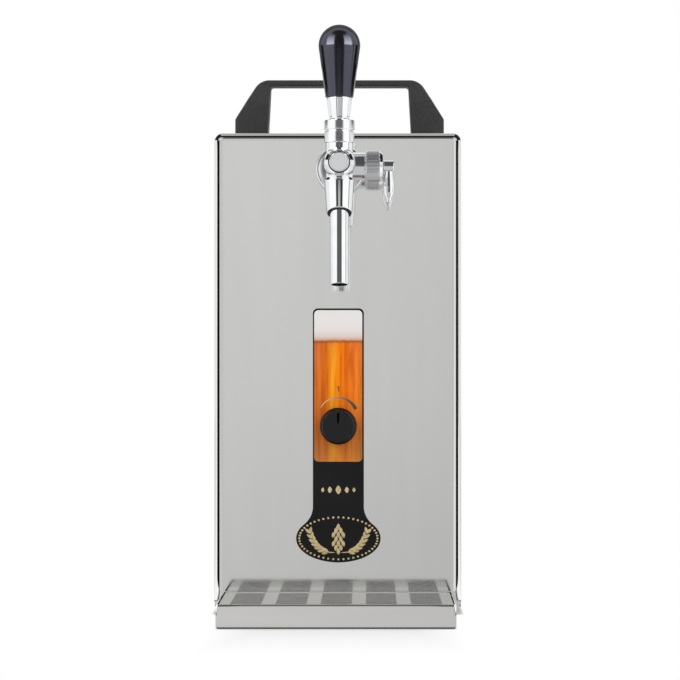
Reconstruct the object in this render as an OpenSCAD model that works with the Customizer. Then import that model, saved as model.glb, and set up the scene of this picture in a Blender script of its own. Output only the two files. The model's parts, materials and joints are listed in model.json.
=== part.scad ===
// Countertop draught beer dispenser: a dry-block cooler in a steel housing with one compensator tap.
// Millimetres, +Z up. The tap looks along -Y. The origin is on the table, under the middle of the whole.
// Inside the modules y = 0 is the face of the front panel, and place() moves that frame to its origin.

/* [Housing] */
// Width of the housing
body_w = 175; // [168:1:200]
// Height of the housing above its feet
body_h = 336; // [330:1:356]
// Depth of the housing from the front panel's face to the rear panel's face
body_d = 270; // [262:1:300]
// Thickness of the sheet metal
sheet = 1; // [0.8:0.1:1.4]
// Outer radius of the bent edges
edge_r = 6; // [4:0.5:9]
// Depth of the front panel's side flange
flange_d = 16; // [13:1:20]
// Depth of the hidden lips that the cover and the base slip over
lip_d = 9; // [7:1:11]
// Height of the folded edge of the base plate
base_edge_h = 20; // [16:1:24]
// Height of the rubber feet under the base plate
foot_h = 4; // [3:0.5:8]
// Radius of a rubber foot
foot_r = 9; // [7:0.5:12]
// Distance of the feet from the housing's edges
foot_inset = 20; // [18:1:28]

/* [Vents] */
// Length of one vent slot
vent_l = 38; // [30:1:42]
// Height of one vent slot
vent_h = 4; // [3:0.5:5]
// Distance from one row of slots to the next
vent_pitch = 9; // [8:0.5:12]
// Rows of slots in each side of the cover
vent_rows = 10; // [6:1:12]
// Rows of slots in the rear panel
rear_vent_rows = 14; // [8:1:15]

/* [Carry handle] */
// Width of the carry handle
handle_w = 157; // [146:1:160]
// Height of the carry handle above the cover
handle_h = 51; // [45:1:60]
// Depth of the carry handle, front to back
handle_d = 28; // [22:1:34]
// Thickness of the handle's bar
bar_t = 6.2; // [5:0.1:8]
// Width of a handle leg at its foot
leg_w = 24; // [20:1:27]
// Height of the upright part of a leg, below its slope
shoulder_h = 20.5; // [16:0.5:24]
// Sideways run of the leg's outer slope
slope_w = 15; // [10:1:18]

/* [Label] */
// Sideways place of the label and the thermostat
label_x = 0.5; // [-4:0.5:4]
// Width of the label's strip
label_w = 36; // [30:1:40]
// Height of the label's top edge above the table
label_top = 216; // [200:1:222]
// Thickness of the label plate
label_t = 1.2; // [0.8:0.1:1.6]
// Corner radius of the label's top
label_r = 3.5; // [2:0.5:6]
// Width of the oval foot of the label
oval_w = 59.6; // [50:0.2:66]
// Height of the oval foot of the label
oval_h = 34; // [28:0.5:38]
// Height of the oval's middle above the table
oval_z = 53.8; // [48:0.2:60]
// Radius of the hollow curves between the strip and the oval
flare_r = 16; // [10:0.5:20]

/* [Thermostat] */
// Height of the thermostat's axis above the table
knob_z = 133; // [125:1:140]
// Radius of the knob
knob_r = 11.3; // [10.5:0.1:13]
// Radius of the knob's skirt
skirt_r = 13; // [12.5:0.1:15]
// How far the knob stands out of the label
knob_len = 14.5; // [12:0.5:18]
// Radius of the thermostat's shaft
shaft_r = 3; // [2.5:0.1:3.4]
// Width, depth and height of the thermostat's case
thermo_w = 34; // [30:1:40]
thermo_d = 26; // [22:1:28]
thermo_h = 40; // [34:1:46]

/* [Tap] */
// Sideways place of the tap
tap_x = 2; // [-3:0.5:4]
// Depth of the tap's flow axis below the housing's top
tap_drop = 27; // [24:1:32]
// Distance of the spout's axis from the front panel
tap_reach = 72; // [68:1:80]
// Radius of the tap's barrel
barrel_r = 9.75; // [9.3:0.05:11]
// Radius of the tap's upright column
column_r = 9.3; // [9:0.05:9.5]
// Radius of the beer bore
bore_r = 5.8; // [5:0.1:6]
// Length of the barrel in front of the column's axis
barrel_nose = 16; // [14:0.5:20]
// Depth of the spout's socket below the flow axis
socket_drop = 28.4; // [26:0.2:32]
// Outer radius of the spout
spout_r = 6.4; // [5.8:0.1:6.8]
// Wall of the spout
spout_wall = 1.1; // [0.8:0.1:1.5]
// Depth of the spout's mouth below the flow axis
spout_drop = 83.3; // [70:0.1:95]
// Radius of the shank's thread
shank_r = 10.4; // [9.8:0.1:11]
// Radius of the coupling nut
coupling_r = 17; // [15:0.5:19]
// Length of the coupling nut
coupling_l = 16.6; // [15:0.2:18]
// Radius of the wall rosette
rosette_r = 15; // [14:0.5:18]

/* [Lever] */
// Radius of the collar nut's upper ring
collar_r = 10.5; // [10.3:0.1:11.5]
// Height of the collar nut's top above the flow axis
collar_top = 29.1; // [28.8:0.1:30]
// Distance from the lever's pin to its lifting finger
finger_arm = 5; // [4.6:0.1:5.2]
// Tilt of the lever from shut to open, in degrees
lever_throw = 30; // [20:1:30]
// Radius of the lever's pivot pin
pin_r = 1.4; // [1.2:0.05:1.5]
// Radius of the ferrule's lower and upper ends
ferrule_foot_r = 6.65; // [6:0.05:6.8]
ferrule_top_r = 8.9; // [8.2:0.05:9.4]
// Height of the grip's lower end above the flow axis
grip_foot_z = 44.6; // [40:0.1:50]
// Height of the grip's top above the flow axis
grip_top_z = 94; // [85:0.5:98]
// Radius of the grip's lower end
grip_foot_r = 9.5; // [9:0.1:11]
// Radius of the grip's round top
grip_r = 14.15; // [12:0.05:16]

/* [Compensator] */
// Distance of the compensator's axis from the front panel
comp_reach = 45; // [42:0.5:46]
// Length of the compensator's boss from the tap's middle
boss_l = 17.6; // [15:0.1:20]
// Radius of the compensator's boss
boss_r = 9.6; // [9:0.1:10.2]
// Radius of the compensator's knurled nut
knurl_r = 10.85; // [10.2:0.05:12]
// Length of the compensator's knurled nut
knurl_l = 12; // [10.5:0.1:14]
// Radius of the compensator's spindle
comp_spindle_r = 3; // [2.6:0.1:3.2]
// Offset of the spindle's driving pin
comp_throw = 1.7; // [1.4:0.05:1.75]
// Length of the compensator's lever below its axis
comp_lever_l = 26; // [22:0.5:30]
// Radius of the lever's widest place
comp_lever_r = 4; // [3:0.1:4.4]

/* [Drip tray] */
// Width of the drip tray
tray_w = 161; // [150:1:170]
// Depth of the drip tray
tray_d = 100; // [90:1:110]
// Height of the drip tray
tray_h = 16.5; // [14:0.5:22]
// Radius of the tray's bottom edges and upright corners
tray_r = 4; // [2.5:0.5:6]
// Thickness of the grille plate
grille_t = 1.2; // [1:0.1:2]
// Depth of the grille below the tray's rim
grille_sink = 0.8; // [0.4:0.1:1.5]
// Groups of slots across the grille
slot_groups = 5; // [3:1:6]
// Length of one grille slot
slot_l = 21.4; // [16:0.2:22]
// Distance from one group of slots to the next
slot_group_pitch = 30.4; // [26:0.2:31]
// Width of one grille slot
slot_w = 2.4; // [1.6:0.1:3]
// Distance from one slot to the next
slot_pitch = 4.6; // [4:0.1:7]
// Radius and depth of the thumb notch in the grille's front edge
notch_r = 18; // [12:1:24]
notch_depth = 7; // [4:0.5:9]

/* [Cooling] */
// Depth of the chamber for the cooling block, front to back
cave_d = 54; // [50:1:60]
// Wall of the insulation jacket beside the cooling block and under it
jacket_side_wall = 23; // [18:1:26]
jacket_floor = 18; // [14:1:20]
// Height of the jacket's lid
lid_h = 23; // [18:1:26]
// Gap between the jacket and the cover's sides
jacket_side_gap = 12.5; // [10:0.5:16]
// Outer radius of the beer coil's tube
coil_r = 4; // [3.5:0.1:4.5]
// Passes of the beer coil and of the evaporator, an even number each
coil_passes = 6; // [4:2:6]
evap_passes = 6; // [4:2:6]
// Outer radius of the refrigerant tube
pipe_r = 3; // [2.5:0.1:3.2]
// Wall of the tubes
pipe_wall = 0.8; // [0.5:0.1:1]
// Radius of the compressor's can
compressor_r = 52; // [46:1:54]
// Height of the compressor's can
compressor_h = 118; // [105:1:122]
// Width of the shroud's rim beside the fan's opening
fan_rim = 6; // [5:0.5:12]
// Blades of the fan
fan_blades = 5; // [3:1:7]
// Distance from one condenser fin to the next
fin_pitch = 6; // [5:0.5:10]
// Thickness of a fin
fin_t = 0.6; // [0.4:0.1:1]

/* [Rear fittings] */
// Radius of the beer line that the inlet takes
line_r = 4.8; // [4:0.05:4.9]
// Radius of the mains cord that the gland takes
cord_r = 3.6; // [3:0.1:4]
// Sideways place and height of the cord gland
gland_x = 50; // [40:1:60]
gland_z = 32; // [28:1:40]
// Sideways place of the mains switch
switch_x = 45; // [38:1:55]
// Tilt of the switch's rocker, in degrees
rocker_throw = 16; // [10:1:18]

/* [Fits] */
// Gap round pieces that are pressed or screwed together
fit_gap = 0.02; // [0.01:0.01:0.04]
// Gap round a shaft that turns or slides
run_gap = 0.05; // [0.03:0.01:0.08]
// Gap between pieces that pass each other
free_gap = 0.3; // [0.25:0.05:0.4]

/* [Hidden] */

$fn = 64;

// Cuts reach this far past a face
over = 1;

// Heights of the housing
base_z = foot_h;
floor_z = base_z + sheet;
top_z = base_z + body_h;
mid_z = base_z + body_h / 2;
tap_z = top_z - tap_drop;
// Half of the housing's width, outside and inside the cover
half_w = body_w / 2;
inner_x = half_w - sheet;
// Seam between two panels that meet edge to edge
seam = 0.4;
cover_y0 = flange_d + seam;
cover_y1 = body_d - sheet - seam;
rear_in_y = body_d - sheet;

// Screws
screw_r = 1.9;
screw_head_r = 3.6;
screw_head_t = 1.8;
screw_l = 7;
rear_lip_y = rear_in_y - lip_d / 2;
base_screw_z = floor_z + base_edge_h / 2;
base_screw_ys = [flange_d + lip_d + 30, body_d / 2, rear_in_y - lip_d - 30];
lip_screw_zs = [base_z + 55, top_z - 55];

// Rear fittings stand this far out of the rear panel
fitting_out = 20;
collet_travel = 1.5;
collet_flange_t = 1.5;
collet_out = collet_travel + collet_flange_t;
tray_gap = 0.6;
total_d = tray_d + tray_gap + body_d + fitting_out + collet_out;
front_y = tray_d + tray_gap - total_d / 2;

// Tap: places along its flow axis, forward is negative
rosette_t = 3;
coupling_y = -rosette_t - free_gap;
shank_end_y = -14;
shank_tail_y = 38;
gasket_t = 0.6;
tail_flange_t = 2.4;
tail_flange_r = shank_r - 0.5;
tail_y = shank_end_y - gasket_t;
tail_neck_r = shank_r - 2.4;
neck_end_y = coupling_y - coupling_l - 2;
column_y = -tap_reach;
barrel_end_y = column_y - barrel_nose;
plug_r = 7.5;
plug_t = 2.5;
plug_stem_r = 6.4;
plug_stem_l = 5;
plug_rim = 0.45;

// Tap: heights from its flow axis
chamber_r = 6;
seat_z = -9;
seat_r = 4;
socket_top = -16;
shoulder_z = -12.2;
gland_z0 = 12;
gland_h = 6;
gland_bore_r = 6.4;
seal_h = 3;
thread_r = 8.2;
band_z0 = 13.9;
band_z1 = 21.4;
groove_z1 = 22.8;
band_r = collar_r - 0.25;
groove_r = collar_r - 0.9;
collar_web_z0 = gland_z0 + gland_h + seal_h + 0.2;
collar_web_t = 1.2;
collar_floor = collar_web_z0 + collar_web_t;
collar_bore_r = collar_r - 1.1;

// Lever: the finger starts half the throw under the pin and ends half the throw over it
lever_pin_z = collar_top - 2.6;
lever_pin_y = -finger_arm * cos(lever_throw / 2);
finger_z = lever_pin_z - finger_arm * sin(lever_throw / 2);
finger_r = 1.3;
cheek_x0 = 2.5;
cheek_t = 2.2;
cheek_pin_r = 3;
cheek_finger_r = 2.2;
lug_gap = 0.3;
lug_half_w = 2.6;
lug_top = lever_pin_z + 2.1;
lever_base_z = collar_top + 0.4;
lever_base_h = 2;
ferrule_slope = (ferrule_top_r - ferrule_foot_r) / (grip_foot_z - lever_base_z);
ferrule_mid_r = ferrule_foot_r + lever_base_h * ferrule_slope;
stud_r = 4;
stud_in_grip = 26;
stud_top_z = grip_foot_z + stud_in_grip;
lever_pin_half = collar_r - 1.6;

// Valve spindle
spindle_r = 2.6;
tongue_x = cheek_x0 - 0.35;
tongue_y = 2.4;
tongue_eye_r = finger_r + free_gap;
tongue_top = finger_z + tongue_eye_r + 1.2;
tongue_foot = collar_floor - 3.5;
washer_r = 5.4;
washer_h = 2;
washer_z = seat_z + 0.1;

// Grip: a cone that runs tangent into a ball
grip_ball_z = grip_top_z - grip_r;
grip_d = sqrt(pow(grip_foot_r, 2) + pow(grip_ball_z - grip_foot_z, 2));
grip_side = sqrt(pow(grip_d, 2) - pow(grip_r, 2));
grip_angle = asin(grip_r / grip_d) - atan(grip_foot_r / (grip_ball_z - grip_foot_z));
grip_wide_r = grip_foot_r + grip_side * sin(grip_angle);
grip_wide_z = grip_foot_z + grip_side * cos(grip_angle);

// Compensator: places along X from the tap's middle
comp_y = -comp_reach;
stub_r = 7.4;
stub_end = boss_l + knurl_l - 4.6;
nut_x0 = boss_l + 0.2;
nut_x1 = boss_l + knurl_l;
comp_seal_r = 5.8;
comp_seal_x = stub_end - 3;
knurl_count = 28;
knurl_depth = 0.5;
knurl_land = 0.4;
nut_chamfer = 2;
spindle_in_x = bore_r + free_gap;
drive_pin_r = 1.2;
drive_pin_x = 2.8;
hub_x0 = nut_x1 + 0.5;
hub_x1 = hub_x0 + 7.2;
hub_r = 4.3;
comp_cone_r = bore_r - free_gap;
comp_cone_half = 7;
comp_cone_nose = 8;
comp_cone_tip_r = 2.4;
// A pin on a circle strays from a straight drive by this much, and the cone's slot leaves room for it
pin_stray = 0.21 * comp_throw;
comp_slot_half = drive_pin_r + pin_stray + 0.2;

// Thermostat
bushing_r = 5;
thermo_nut_r = 7.5;
thermo_nut_t = 2.4;
bushing_out = 3;
label_hole_r = thermo_nut_r + 0.7;
knob_y = -label_t - free_gap;
skirt_t = 2.4;
knob_end_y = knob_y - knob_len;
knob_cave_r = thermo_nut_r + 1.2;
knob_cave_d = 3;
shaft_end_y = knob_end_y + 3;
shaft_in_y = sheet + thermo_d / 2;
bulb_x = label_x - 12;
capillary_r = 1.2;
thermo_top = knob_z + thermo_h / 2;
capillary_y = sheet + thermo_d - 4;
bulb_l = 80;
bulb_sink = 4;

// Cooling unit, from the front to the rear
jacket_x = inner_x - jacket_side_gap;
thermo_back_gap = 5;
compressor_back_gap = 32;
compressor_front_gap = 12;
jacket_y0 = sheet + thermo_d + thermo_back_gap;
compressor_y = body_d - compressor_r - compressor_back_gap;
jacket_y1 = compressor_y - compressor_r - compressor_front_gap;
tap_over_lid = 20;
lid_top = tap_z - tap_over_lid;
jacket_top = lid_top - lid_h;
cave_x = jacket_x - jacket_side_wall;
cave_mid_y = (jacket_y0 + jacket_y1) / 2;
cave_y0 = cave_mid_y - cave_d / 2;
cave_y1 = cave_mid_y + cave_d / 2;
ledge_w = 4;
// Room for the coils' bends under the block and over it
bend_room = 27;
bend_room_top = 30;
ledge_z = floor_z + jacket_floor + bend_room;
block_x = cave_x - free_gap;
block_y0 = cave_y0 + free_gap;
block_y1 = cave_y1 - free_gap;
block_z0 = ledge_z;
block_z1 = jacket_top - bend_room_top;
coil_offset = 11;
coil_y = cave_mid_y - coil_offset;
evap_y = cave_mid_y + coil_offset;
// Metal beside the outermost passes
coil_edge = 1.7;
evap_edge = 7.7;
coil_pitch = 2 * (block_x - coil_r - coil_edge) / (coil_passes - 1);
evap_pitch = 2 * (block_x - pipe_r - evap_edge) / (evap_passes - 1);
coil_over = 4;
coil_end_x = coil_pitch * (coil_passes - 1) / 2;
evap_end_x = evap_pitch * (evap_passes - 1) / 2;
line_out = 3;
line_end_z = lid_top + line_out;
line_bend = 8;
outlet_in_l = 8;
outlet_end_y = shank_tail_y - outlet_in_l;
inlet_over_lid = 19;
inlet_z = lid_top + inlet_over_lid;

// Compressor
grommet_r = 7;
grommet_h = 9;
mount_z = floor_z + grommet_h;
mount_t = 3;
can_z = mount_z + mount_t;
can_round = 26;
can_top = can_z + compressor_h;
mount_x = compressor_r + 6;
mount_y = compressor_r - 8;
mount_bolt_x = mount_x - 9;
mount_bolt_y = mount_y - 8;
bolt_r = 3;
pipe_port_z = can_z + compressor_h * 0.7;
suction_x = evap_end_x;
discharge_y = compressor_y;
stub_out = 7;

// Condenser and fan
cond_side_gap = 25.5;
cond_over_can = 14;
cond_under_inlet = 22;
cond_back_gap = 6;
cond_d = 29;
cond_x = half_w - cond_side_gap;
cond_z0 = can_top + cond_over_can;
cond_z1 = inlet_z - cond_under_inlet;
cond_y1 = rear_in_y - cond_back_gap;
cond_y0 = cond_y1 - cond_d;
fan_r = min(cond_x, (cond_z1 - cond_z0) / 2) - fan_rim;
cond_mid_y = (cond_y0 + cond_y1) / 2;
cond_mid_z = (cond_z0 + cond_z1) / 2;
cond_pass_pitch = 20;
cond_passes = 2 * floor((cond_z1 - cond_z0 - 20) / cond_pass_pitch / 2) + 1;
cond_first_z = cond_mid_z + cond_pass_pitch * (cond_passes - 1) / 2;
cond_last_z = cond_mid_z - cond_pass_pitch * (cond_passes - 1) / 2;
cond_tube_x = cond_x + 3.5;
plate_t = 1;
plate_flange = 9;
plate_screw_x = cond_x + plate_t + plate_flange / 2;
plate_screw_zs = [cond_z0 + 15, cond_z1 - 15];
shroud_y1 = cond_y0 - 2;
shroud_y0 = shroud_y1 - plate_t;
ring_t = 1.5;
fan_ring_d = 22;
arm_d = 3;
arm_w = 6;
motor_r = 20;
motor_l = 23;
motor_floor = 5;
motor_cup_r = motor_r + 3;
motor_cup_d = 7;
fan_ring_y = shroud_y0 - fan_ring_d;
motor_y1 = fan_ring_y + arm_d;
motor_y0 = motor_y1 - motor_l;
fan_hub_r = 16;
fan_hub_y0 = motor_y1 + 3;
fan_hub_l = 12;
fan_tip = 2.5;
fan_shaft_r = 2.5;
blade_chord = 22;
blade_pitch = 30;
blade_t = 1.5;

// Filter drier and refrigerant lines
side_line_x = cond_tube_x + line_bend + 2;
drier_r = 8;
drier_x = -(cond_tube_x + line_bend);
drier_gap = 27;
drier_y = cond_y0 - drier_gap;
drier_rise = 18;
drier_l = 67;
drier_z0 = cond_last_z + drier_rise;
drier_z1 = drier_z0 + drier_l;
suction_gap = 9;
suction_y = jacket_y1 + suction_gap;
capillary_rise = 10;
capillary_top = lid_top + capillary_rise;

// Terminal box on the back of the jacket
box_w = 56;
box_d = 22;
box_h = 42;
box_z = cond_z0 + 5;

// Beer inlet, straight behind the coil's left end
inlet_x = -coil_end_x;
inlet_body_r = 9.5;
inlet_flange_r = 12;
inlet_flange_t = 4;
inlet_thread_r = 8;
inlet_end_y = body_d + fitting_out;
inlet_in_l = 12;
collet_r = line_r + 2;
collet_cave_d = 8;
collet_l = 6;
collet_flange_r = line_r + 3.4;
inlet_stop_y = body_d + 1;
inlet_bore_r = 3.2;

// Cord gland
gland_hex_r = 11;
gland_flange_t = 5;
gland_dome_r = 8.6;
gland_out = 15;
gland_thread_r = 7.8;
gland_in_l = 9;

// Mains switch
switch_z = inlet_z;
switch_w = 19;
switch_h = 13;
switch_rim = 2.5;
switch_rim_t = 2;
switch_d = 20;
rocker_gap = 0.4;
rocker_wall = 1.5;
rocker_out = 2.4;

// Carry handle: leg inside edge leans in by this much
leg_lean = 2.6;
handle_y = body_d / 2;
handle_round = 8;
leg_mid_x = handle_w / 2 - leg_w / 2;
handle_bolt_r = 3;
handle_bolt_l = 12;
handle_bolt_head_r = 6;
handle_bolt_head_t = 5;

// Grille and tray
grille_w = tray_w - 2 * sheet - 1.4;
grille_d = tray_d - 2 * sheet - 1.4;
grille_top = tray_h - grille_sink;
tray_mid_y = -tray_gap - tray_d / 2;
slot_margin = 5;
slot_rows = floor((grille_d - 2 * slot_margin - slot_w) / slot_pitch) + 1;
tab_w = 12;
tab_d = 3;

// Rubber foot
foot_stem_r = 2.95;
foot_cap_r = 4.4;
foot_cap_h = 2;

steel = "#c9c9c6";
polished = "#d6d6d4";
chrome = "#e2e4e6";
black = "#1d1d1d";
grey_black = "#3a3a3a";
copper = "#b87349";
aluminium = "#b9bcc0";
brass = "#b89b55";
foam = "#dcd8c8";
rubber = "#242424";

// Helpers

module place() {
  translate([0, front_y, 0])
    children();
}

module at_tap() {
  translate([tap_x, 0, tap_z])
    children();
}

module rod_x(x0, x1, y, z, r) {
  translate([x0, y, z])
    rotate([0, 90, 0])
      cylinder(h = x1 - x0, r = r);
}

module rod_y(x, y0, y1, z, r) {
  translate([x, y0, z])
    rotate([-90, 0, 0])
      cylinder(h = y1 - y0, r = r);
}

module rod_z(x, y, z0, z1, r) {
  translate([x, y, z0])
    cylinder(h = z1 - z0, r = r);
}

module block(x0, x1, y0, y1, z0, z1) {
  translate([x0, y0, z0])
    cube([x1 - x0, y1 - y0, z1 - z0]);
}

// Extrudes an outline drawn in x and z from y0 to y1
module along_y(y0, y1) {
  translate([0, y1, 0])
    rotate([90, 0, 0])
      linear_extrude(y1 - y0)
        children();
}

// Extrudes an outline drawn in y and z from x0 to x1
module along_x(x0, x1) {
  translate([x0, 0, 0])
    rotate([90, 0, 90])
      linear_extrude(x1 - x0)
        children();
}

// Turns an outline drawn in radius and distance round the Y axis, with the distance along +Y
module turned_y() {
  rotate([-90, 0, 0])
    rotate_extrude()
      children();
}

// Turns an outline drawn in radius and distance round the X axis, with the distance along +X
module turned_x() {
  rotate([0, 90, 0])
    rotate_extrude()
      children();
}

module both_sides() {
  for (side = [0, 1])
    mirror([side, 0, 0])
      children();
}

module rounded_rect(w, h, r) {
  square([w - 2 * r, h], center = true);
  square([w, h - 2 * r], center = true);
  for (sx = [-1, 1], sy = [-1, 1])
    translate([sx * (w / 2 - r), sy * (h / 2 - r)])
      circle(r);
}

// A slot with round ends, l long and w wide
module slot(l, w) {
  square([l - w, w], center = true);
  for (side = [-1, 1])
    translate([side * (l - w) / 2, 0])
      circle(w / 2);
}

// A block that stands on z = 0 with its lower edges and upright corners rounded by r
module tub(w, l, h, r) {
  ex = w / 2 - r;
  ey = l / 2 - r;
  translate([0, 0, r])
    linear_extrude(h - r)
      rounded_rect(w, l, r);
  translate([-ex, -ey, 0])
    cube([2 * ex, 2 * ey, 2 * r]);
  for (side = [-1, 1]) {
    rod_x(-ex, ex, side * ey, r, r);
    rod_y(side * ex, -ey, ey, r, r);
    for (end = [-1, 1])
      translate([side * ex, end * ey, r])
        sphere(r);
  }
}

module ring(r, wall) {
  difference() {
    circle(r);
    circle(r - wall);
  }
}

function unit(v) = v / norm(v);
function square_to(d) = abs(d.z) > 0.5 ? [1, 0, 0] : [0, 0, 1];

// Puts the local x, y and z axes on u, v and w, with the origin at p
module to_axes(u, v, w, p) {
  multmatrix([
    [u.x, v.x, w.x, p.x],
    [u.y, v.y, w.y, p.y],
    [u.z, v.z, w.z, p.z],
    [0, 0, 0, 1]
  ])
    children();
}

// A tube along square-cornered points, with every corner bent to the radius bend
module pipe(points, r, wall, bend) {
  last = len(points) - 1;
  dirs = [for (i = [0 : last - 1]) unit(points[i + 1] - points[i])];
  for (i = [0 : last - 1]) {
    start = points[i] + (i > 0 ? bend : 0) * dirs[i];
    stop = points[i + 1] - (i < last - 1 ? bend : 0) * dirs[i];
    side = square_to(dirs[i]);
    if (norm(stop - start) > 0.01)
      to_axes(side, cross(dirs[i], side), dirs[i], start)
        linear_extrude(norm(stop - start))
          ring(r, wall);
  }
  for (i = [1 : 1 : last - 1])
    to_axes(-dirs[i], dirs[i - 1], cross(dirs[i - 1], dirs[i]), points[i] + bend * (dirs[i] - dirs[i - 1]))
      rotate_extrude(angle = 90)
        translate([bend, 0])
          ring(r, wall);
}

// Corner points of a coil with upright passes, which starts and ends at z_end over the block
function coil_points(passes, pitch, y, z0, z1, z_end) = [
  for (i = [0 : passes - 1])
    let (x = pitch * (i - (passes - 1) / 2), down = i % 2 == 0)
      for (end = [0, 1])
        let (at_top = down == (end == 0), is_tip = (i == 0 && end == 0) || (i == passes - 1 && end == 1))
          [x, y, is_tip ? z_end : (at_top ? z1 + pitch / 2 : z0 - pitch / 2)]
];

// Corner points of the condenser's level passes, from the upper right end to the lower left end
function condenser_points() = [
  for (i = [0 : cond_passes - 1])
    let (z = cond_first_z - i * cond_pass_pitch, leftward = i % 2 == 0)
      for (end = [0, 1])
        let (
          right = leftward == (end == 0),
          is_tip = (i == 0 && end == 0) || (i == cond_passes - 1 && end == 1)
        )
          [(right ? 1 : -1) * (is_tip ? cond_tube_x : cond_x + 2 + cond_pass_pitch / 2), cond_mid_y, z]
];

// Housing

// The lip inside the cover's outline, drawn in x and z
module lip_outline() {
  lip_w = body_w - 2 * sheet - 2 * free_gap;
  lip_h = body_h - 2 * sheet - 2 * free_gap;
  lip_r = edge_r - sheet - free_gap;
  translate([0, mid_z])
    difference() {
      rounded_rect(lip_w, lip_h, lip_r);
      rounded_rect(lip_w - 2 * sheet, lip_h - 2 * sheet, lip_r - sheet);
    }
}

// The web that joins the lip to a panel's flange, drawn in x and z
module web_outline() {
  inset = 2 * sheet + free_gap;
  translate([0, mid_z])
    difference() {
      rounded_rect(body_w - 2 * sheet, body_h - 2 * sheet, edge_r - sheet);
      rounded_rect(body_w - 2 * inset, body_h - 2 * inset, edge_r - inset);
    }
}

module cover_screw_holes() {
  hole_r = screw_r + fit_gap;
  for (y = base_screw_ys)
    rod_x(-half_w - over, half_w + over, y, base_screw_z, hole_r);
  for (z = lip_screw_zs)
    rod_x(-half_w - over, half_w + over, rear_lip_y, z, hole_r);
}

module front_panel() {
  color(polished)
    place()
      difference() {
        union() {
          translate([0, 0, mid_z])
            rotate([-90, 0, 0])
              difference() {
                tub(body_w, body_h, flange_d, edge_r);
                translate([0, 0, sheet])
                  tub(body_w - 2 * sheet, body_h - 2 * sheet, flange_d, edge_r - sheet);
              }
          along_y(flange_d - sheet, flange_d)
            web_outline();
          along_y(flange_d - sheet, flange_d + lip_d)
            lip_outline();
        }
        rod_y(tap_x, -over, sheet + over, tap_z, shank_r + free_gap);
        rod_y(label_x, -over, sheet + over, knob_z, bushing_r + free_gap);
      }
}

module cover_outline(w, h, r) {
  translate([-w / 2, 0])
    square([w, h - r]);
  translate([-w / 2 + r, 0])
    square([w - 2 * r, h]);
  for (side = [-1, 1])
    translate([side * (w / 2 - r), h - r])
      circle(r);
}

module outer_cover() {
  first_z = base_z + base_edge_h + 22;
  color(steel)
    place()
      difference() {
        translate([0, 0, base_z])
          along_y(cover_y0, cover_y1)
            difference() {
              cover_outline(body_w, body_h, edge_r);
              translate([0, -over])
                cover_outline(body_w - 2 * sheet, body_h - sheet + over, edge_r - sheet);
            }
        along_x(-half_w - over, half_w + over)
          for (column = [0, 1], row = [0 : vent_rows - 1])
            translate([compressor_y + (column - 0.5) * (vent_l + 12), first_z + row * vent_pitch])
              slot(vent_l, vent_h);
        cover_screw_holes();
        both_sides()
          rod_z(leg_mid_x, handle_y, top_z - sheet - over, top_z + over, handle_bolt_r + free_gap);
      }
}

module rear_panel() {
  columns = 3;
  color(steel)
    place()
      difference() {
        union() {
          along_y(rear_in_y, body_d)
            translate([0, mid_z])
              rounded_rect(body_w, body_h, edge_r);
          along_y(rear_in_y - lip_d, rear_in_y)
            lip_outline();
        }
        along_y(rear_in_y - over, body_d + over)
          for (column = [0 : columns - 1], row = [0 : rear_vent_rows - 1])
            translate([
              (column - (columns - 1) / 2) * (vent_l + 4),
              cond_mid_z + (row - (rear_vent_rows - 1) / 2) * vent_pitch
            ])
              slot(vent_l, vent_h);
        rod_y(inlet_x, rear_in_y - over, body_d + over, inlet_z, inlet_thread_r + fit_gap);
        rod_y(gland_x, rear_in_y - over, body_d + over, gland_z, gland_thread_r + fit_gap);
        block(
          switch_x - switch_w / 2 - fit_gap, switch_x + switch_w / 2 + fit_gap,
          rear_in_y - over, body_d + over,
          switch_z - switch_h / 2 - fit_gap, switch_z + switch_h / 2 + fit_gap
        );
        both_sides()
          for (z = plate_screw_zs)
            rod_y(plate_screw_x, rear_in_y - over, body_d + over, z, screw_r + fit_gap);
        cover_screw_holes();
      }
}

module base_plate() {
  edge_x = inner_x - free_gap;
  color(steel)
    place()
      difference() {
        union() {
          block(-edge_x, edge_x, cover_y0, cover_y1, base_z, floor_z);
          both_sides()
            block(
              edge_x - sheet, edge_x, flange_d + lip_d + 2, rear_in_y - lip_d - 2,
              base_z, floor_z + base_edge_h
            );
        }
        for (side = [-1, 1], y = foot_ys())
          rod_z(side * (half_w - foot_inset), y, base_z - over, floor_z + over, foot_stem_r + fit_gap);
        for (side = [-1, 1], end = [-1, 1])
          rod_z(
            side * mount_bolt_x, compressor_y + end * mount_bolt_y,
            base_z - over, floor_z + over, bolt_r + fit_gap
          );
        cover_screw_holes();
      }
}

function foot_ys() = [foot_inset + flange_d - sheet, body_d - foot_inset - flange_d + sheet];

module rubber_feet() {
  color(rubber)
    place()
      for (side = [-1, 1], y = foot_ys()) {
        rod_z(side * (half_w - foot_inset), y, 0, base_z, foot_r);
        rod_z(side * (half_w - foot_inset), y, base_z, floor_z + fit_gap, foot_stem_r);
        rod_z(side * (half_w - foot_inset), y, floor_z + fit_gap, floor_z + foot_cap_h, foot_cap_r);
      }
}

module side_screw(y, z) {
  rod_x(half_w, half_w + screw_head_t, y, z, screw_head_r);
  rod_x(half_w - screw_l, half_w, y, z, screw_r);
}

module housing_screws() {
  color(steel)
    place()
      both_sides() {
        for (y = base_screw_ys)
          side_screw(y, base_screw_z);
        for (z = lip_screw_zs)
          side_screw(rear_lip_y, z);
        for (z = plate_screw_zs) {
          rod_y(plate_screw_x, body_d, body_d + screw_head_t, z, screw_head_r);
          rod_y(plate_screw_x, body_d - screw_l, body_d, z, screw_r);
        }
      }
}

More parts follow.
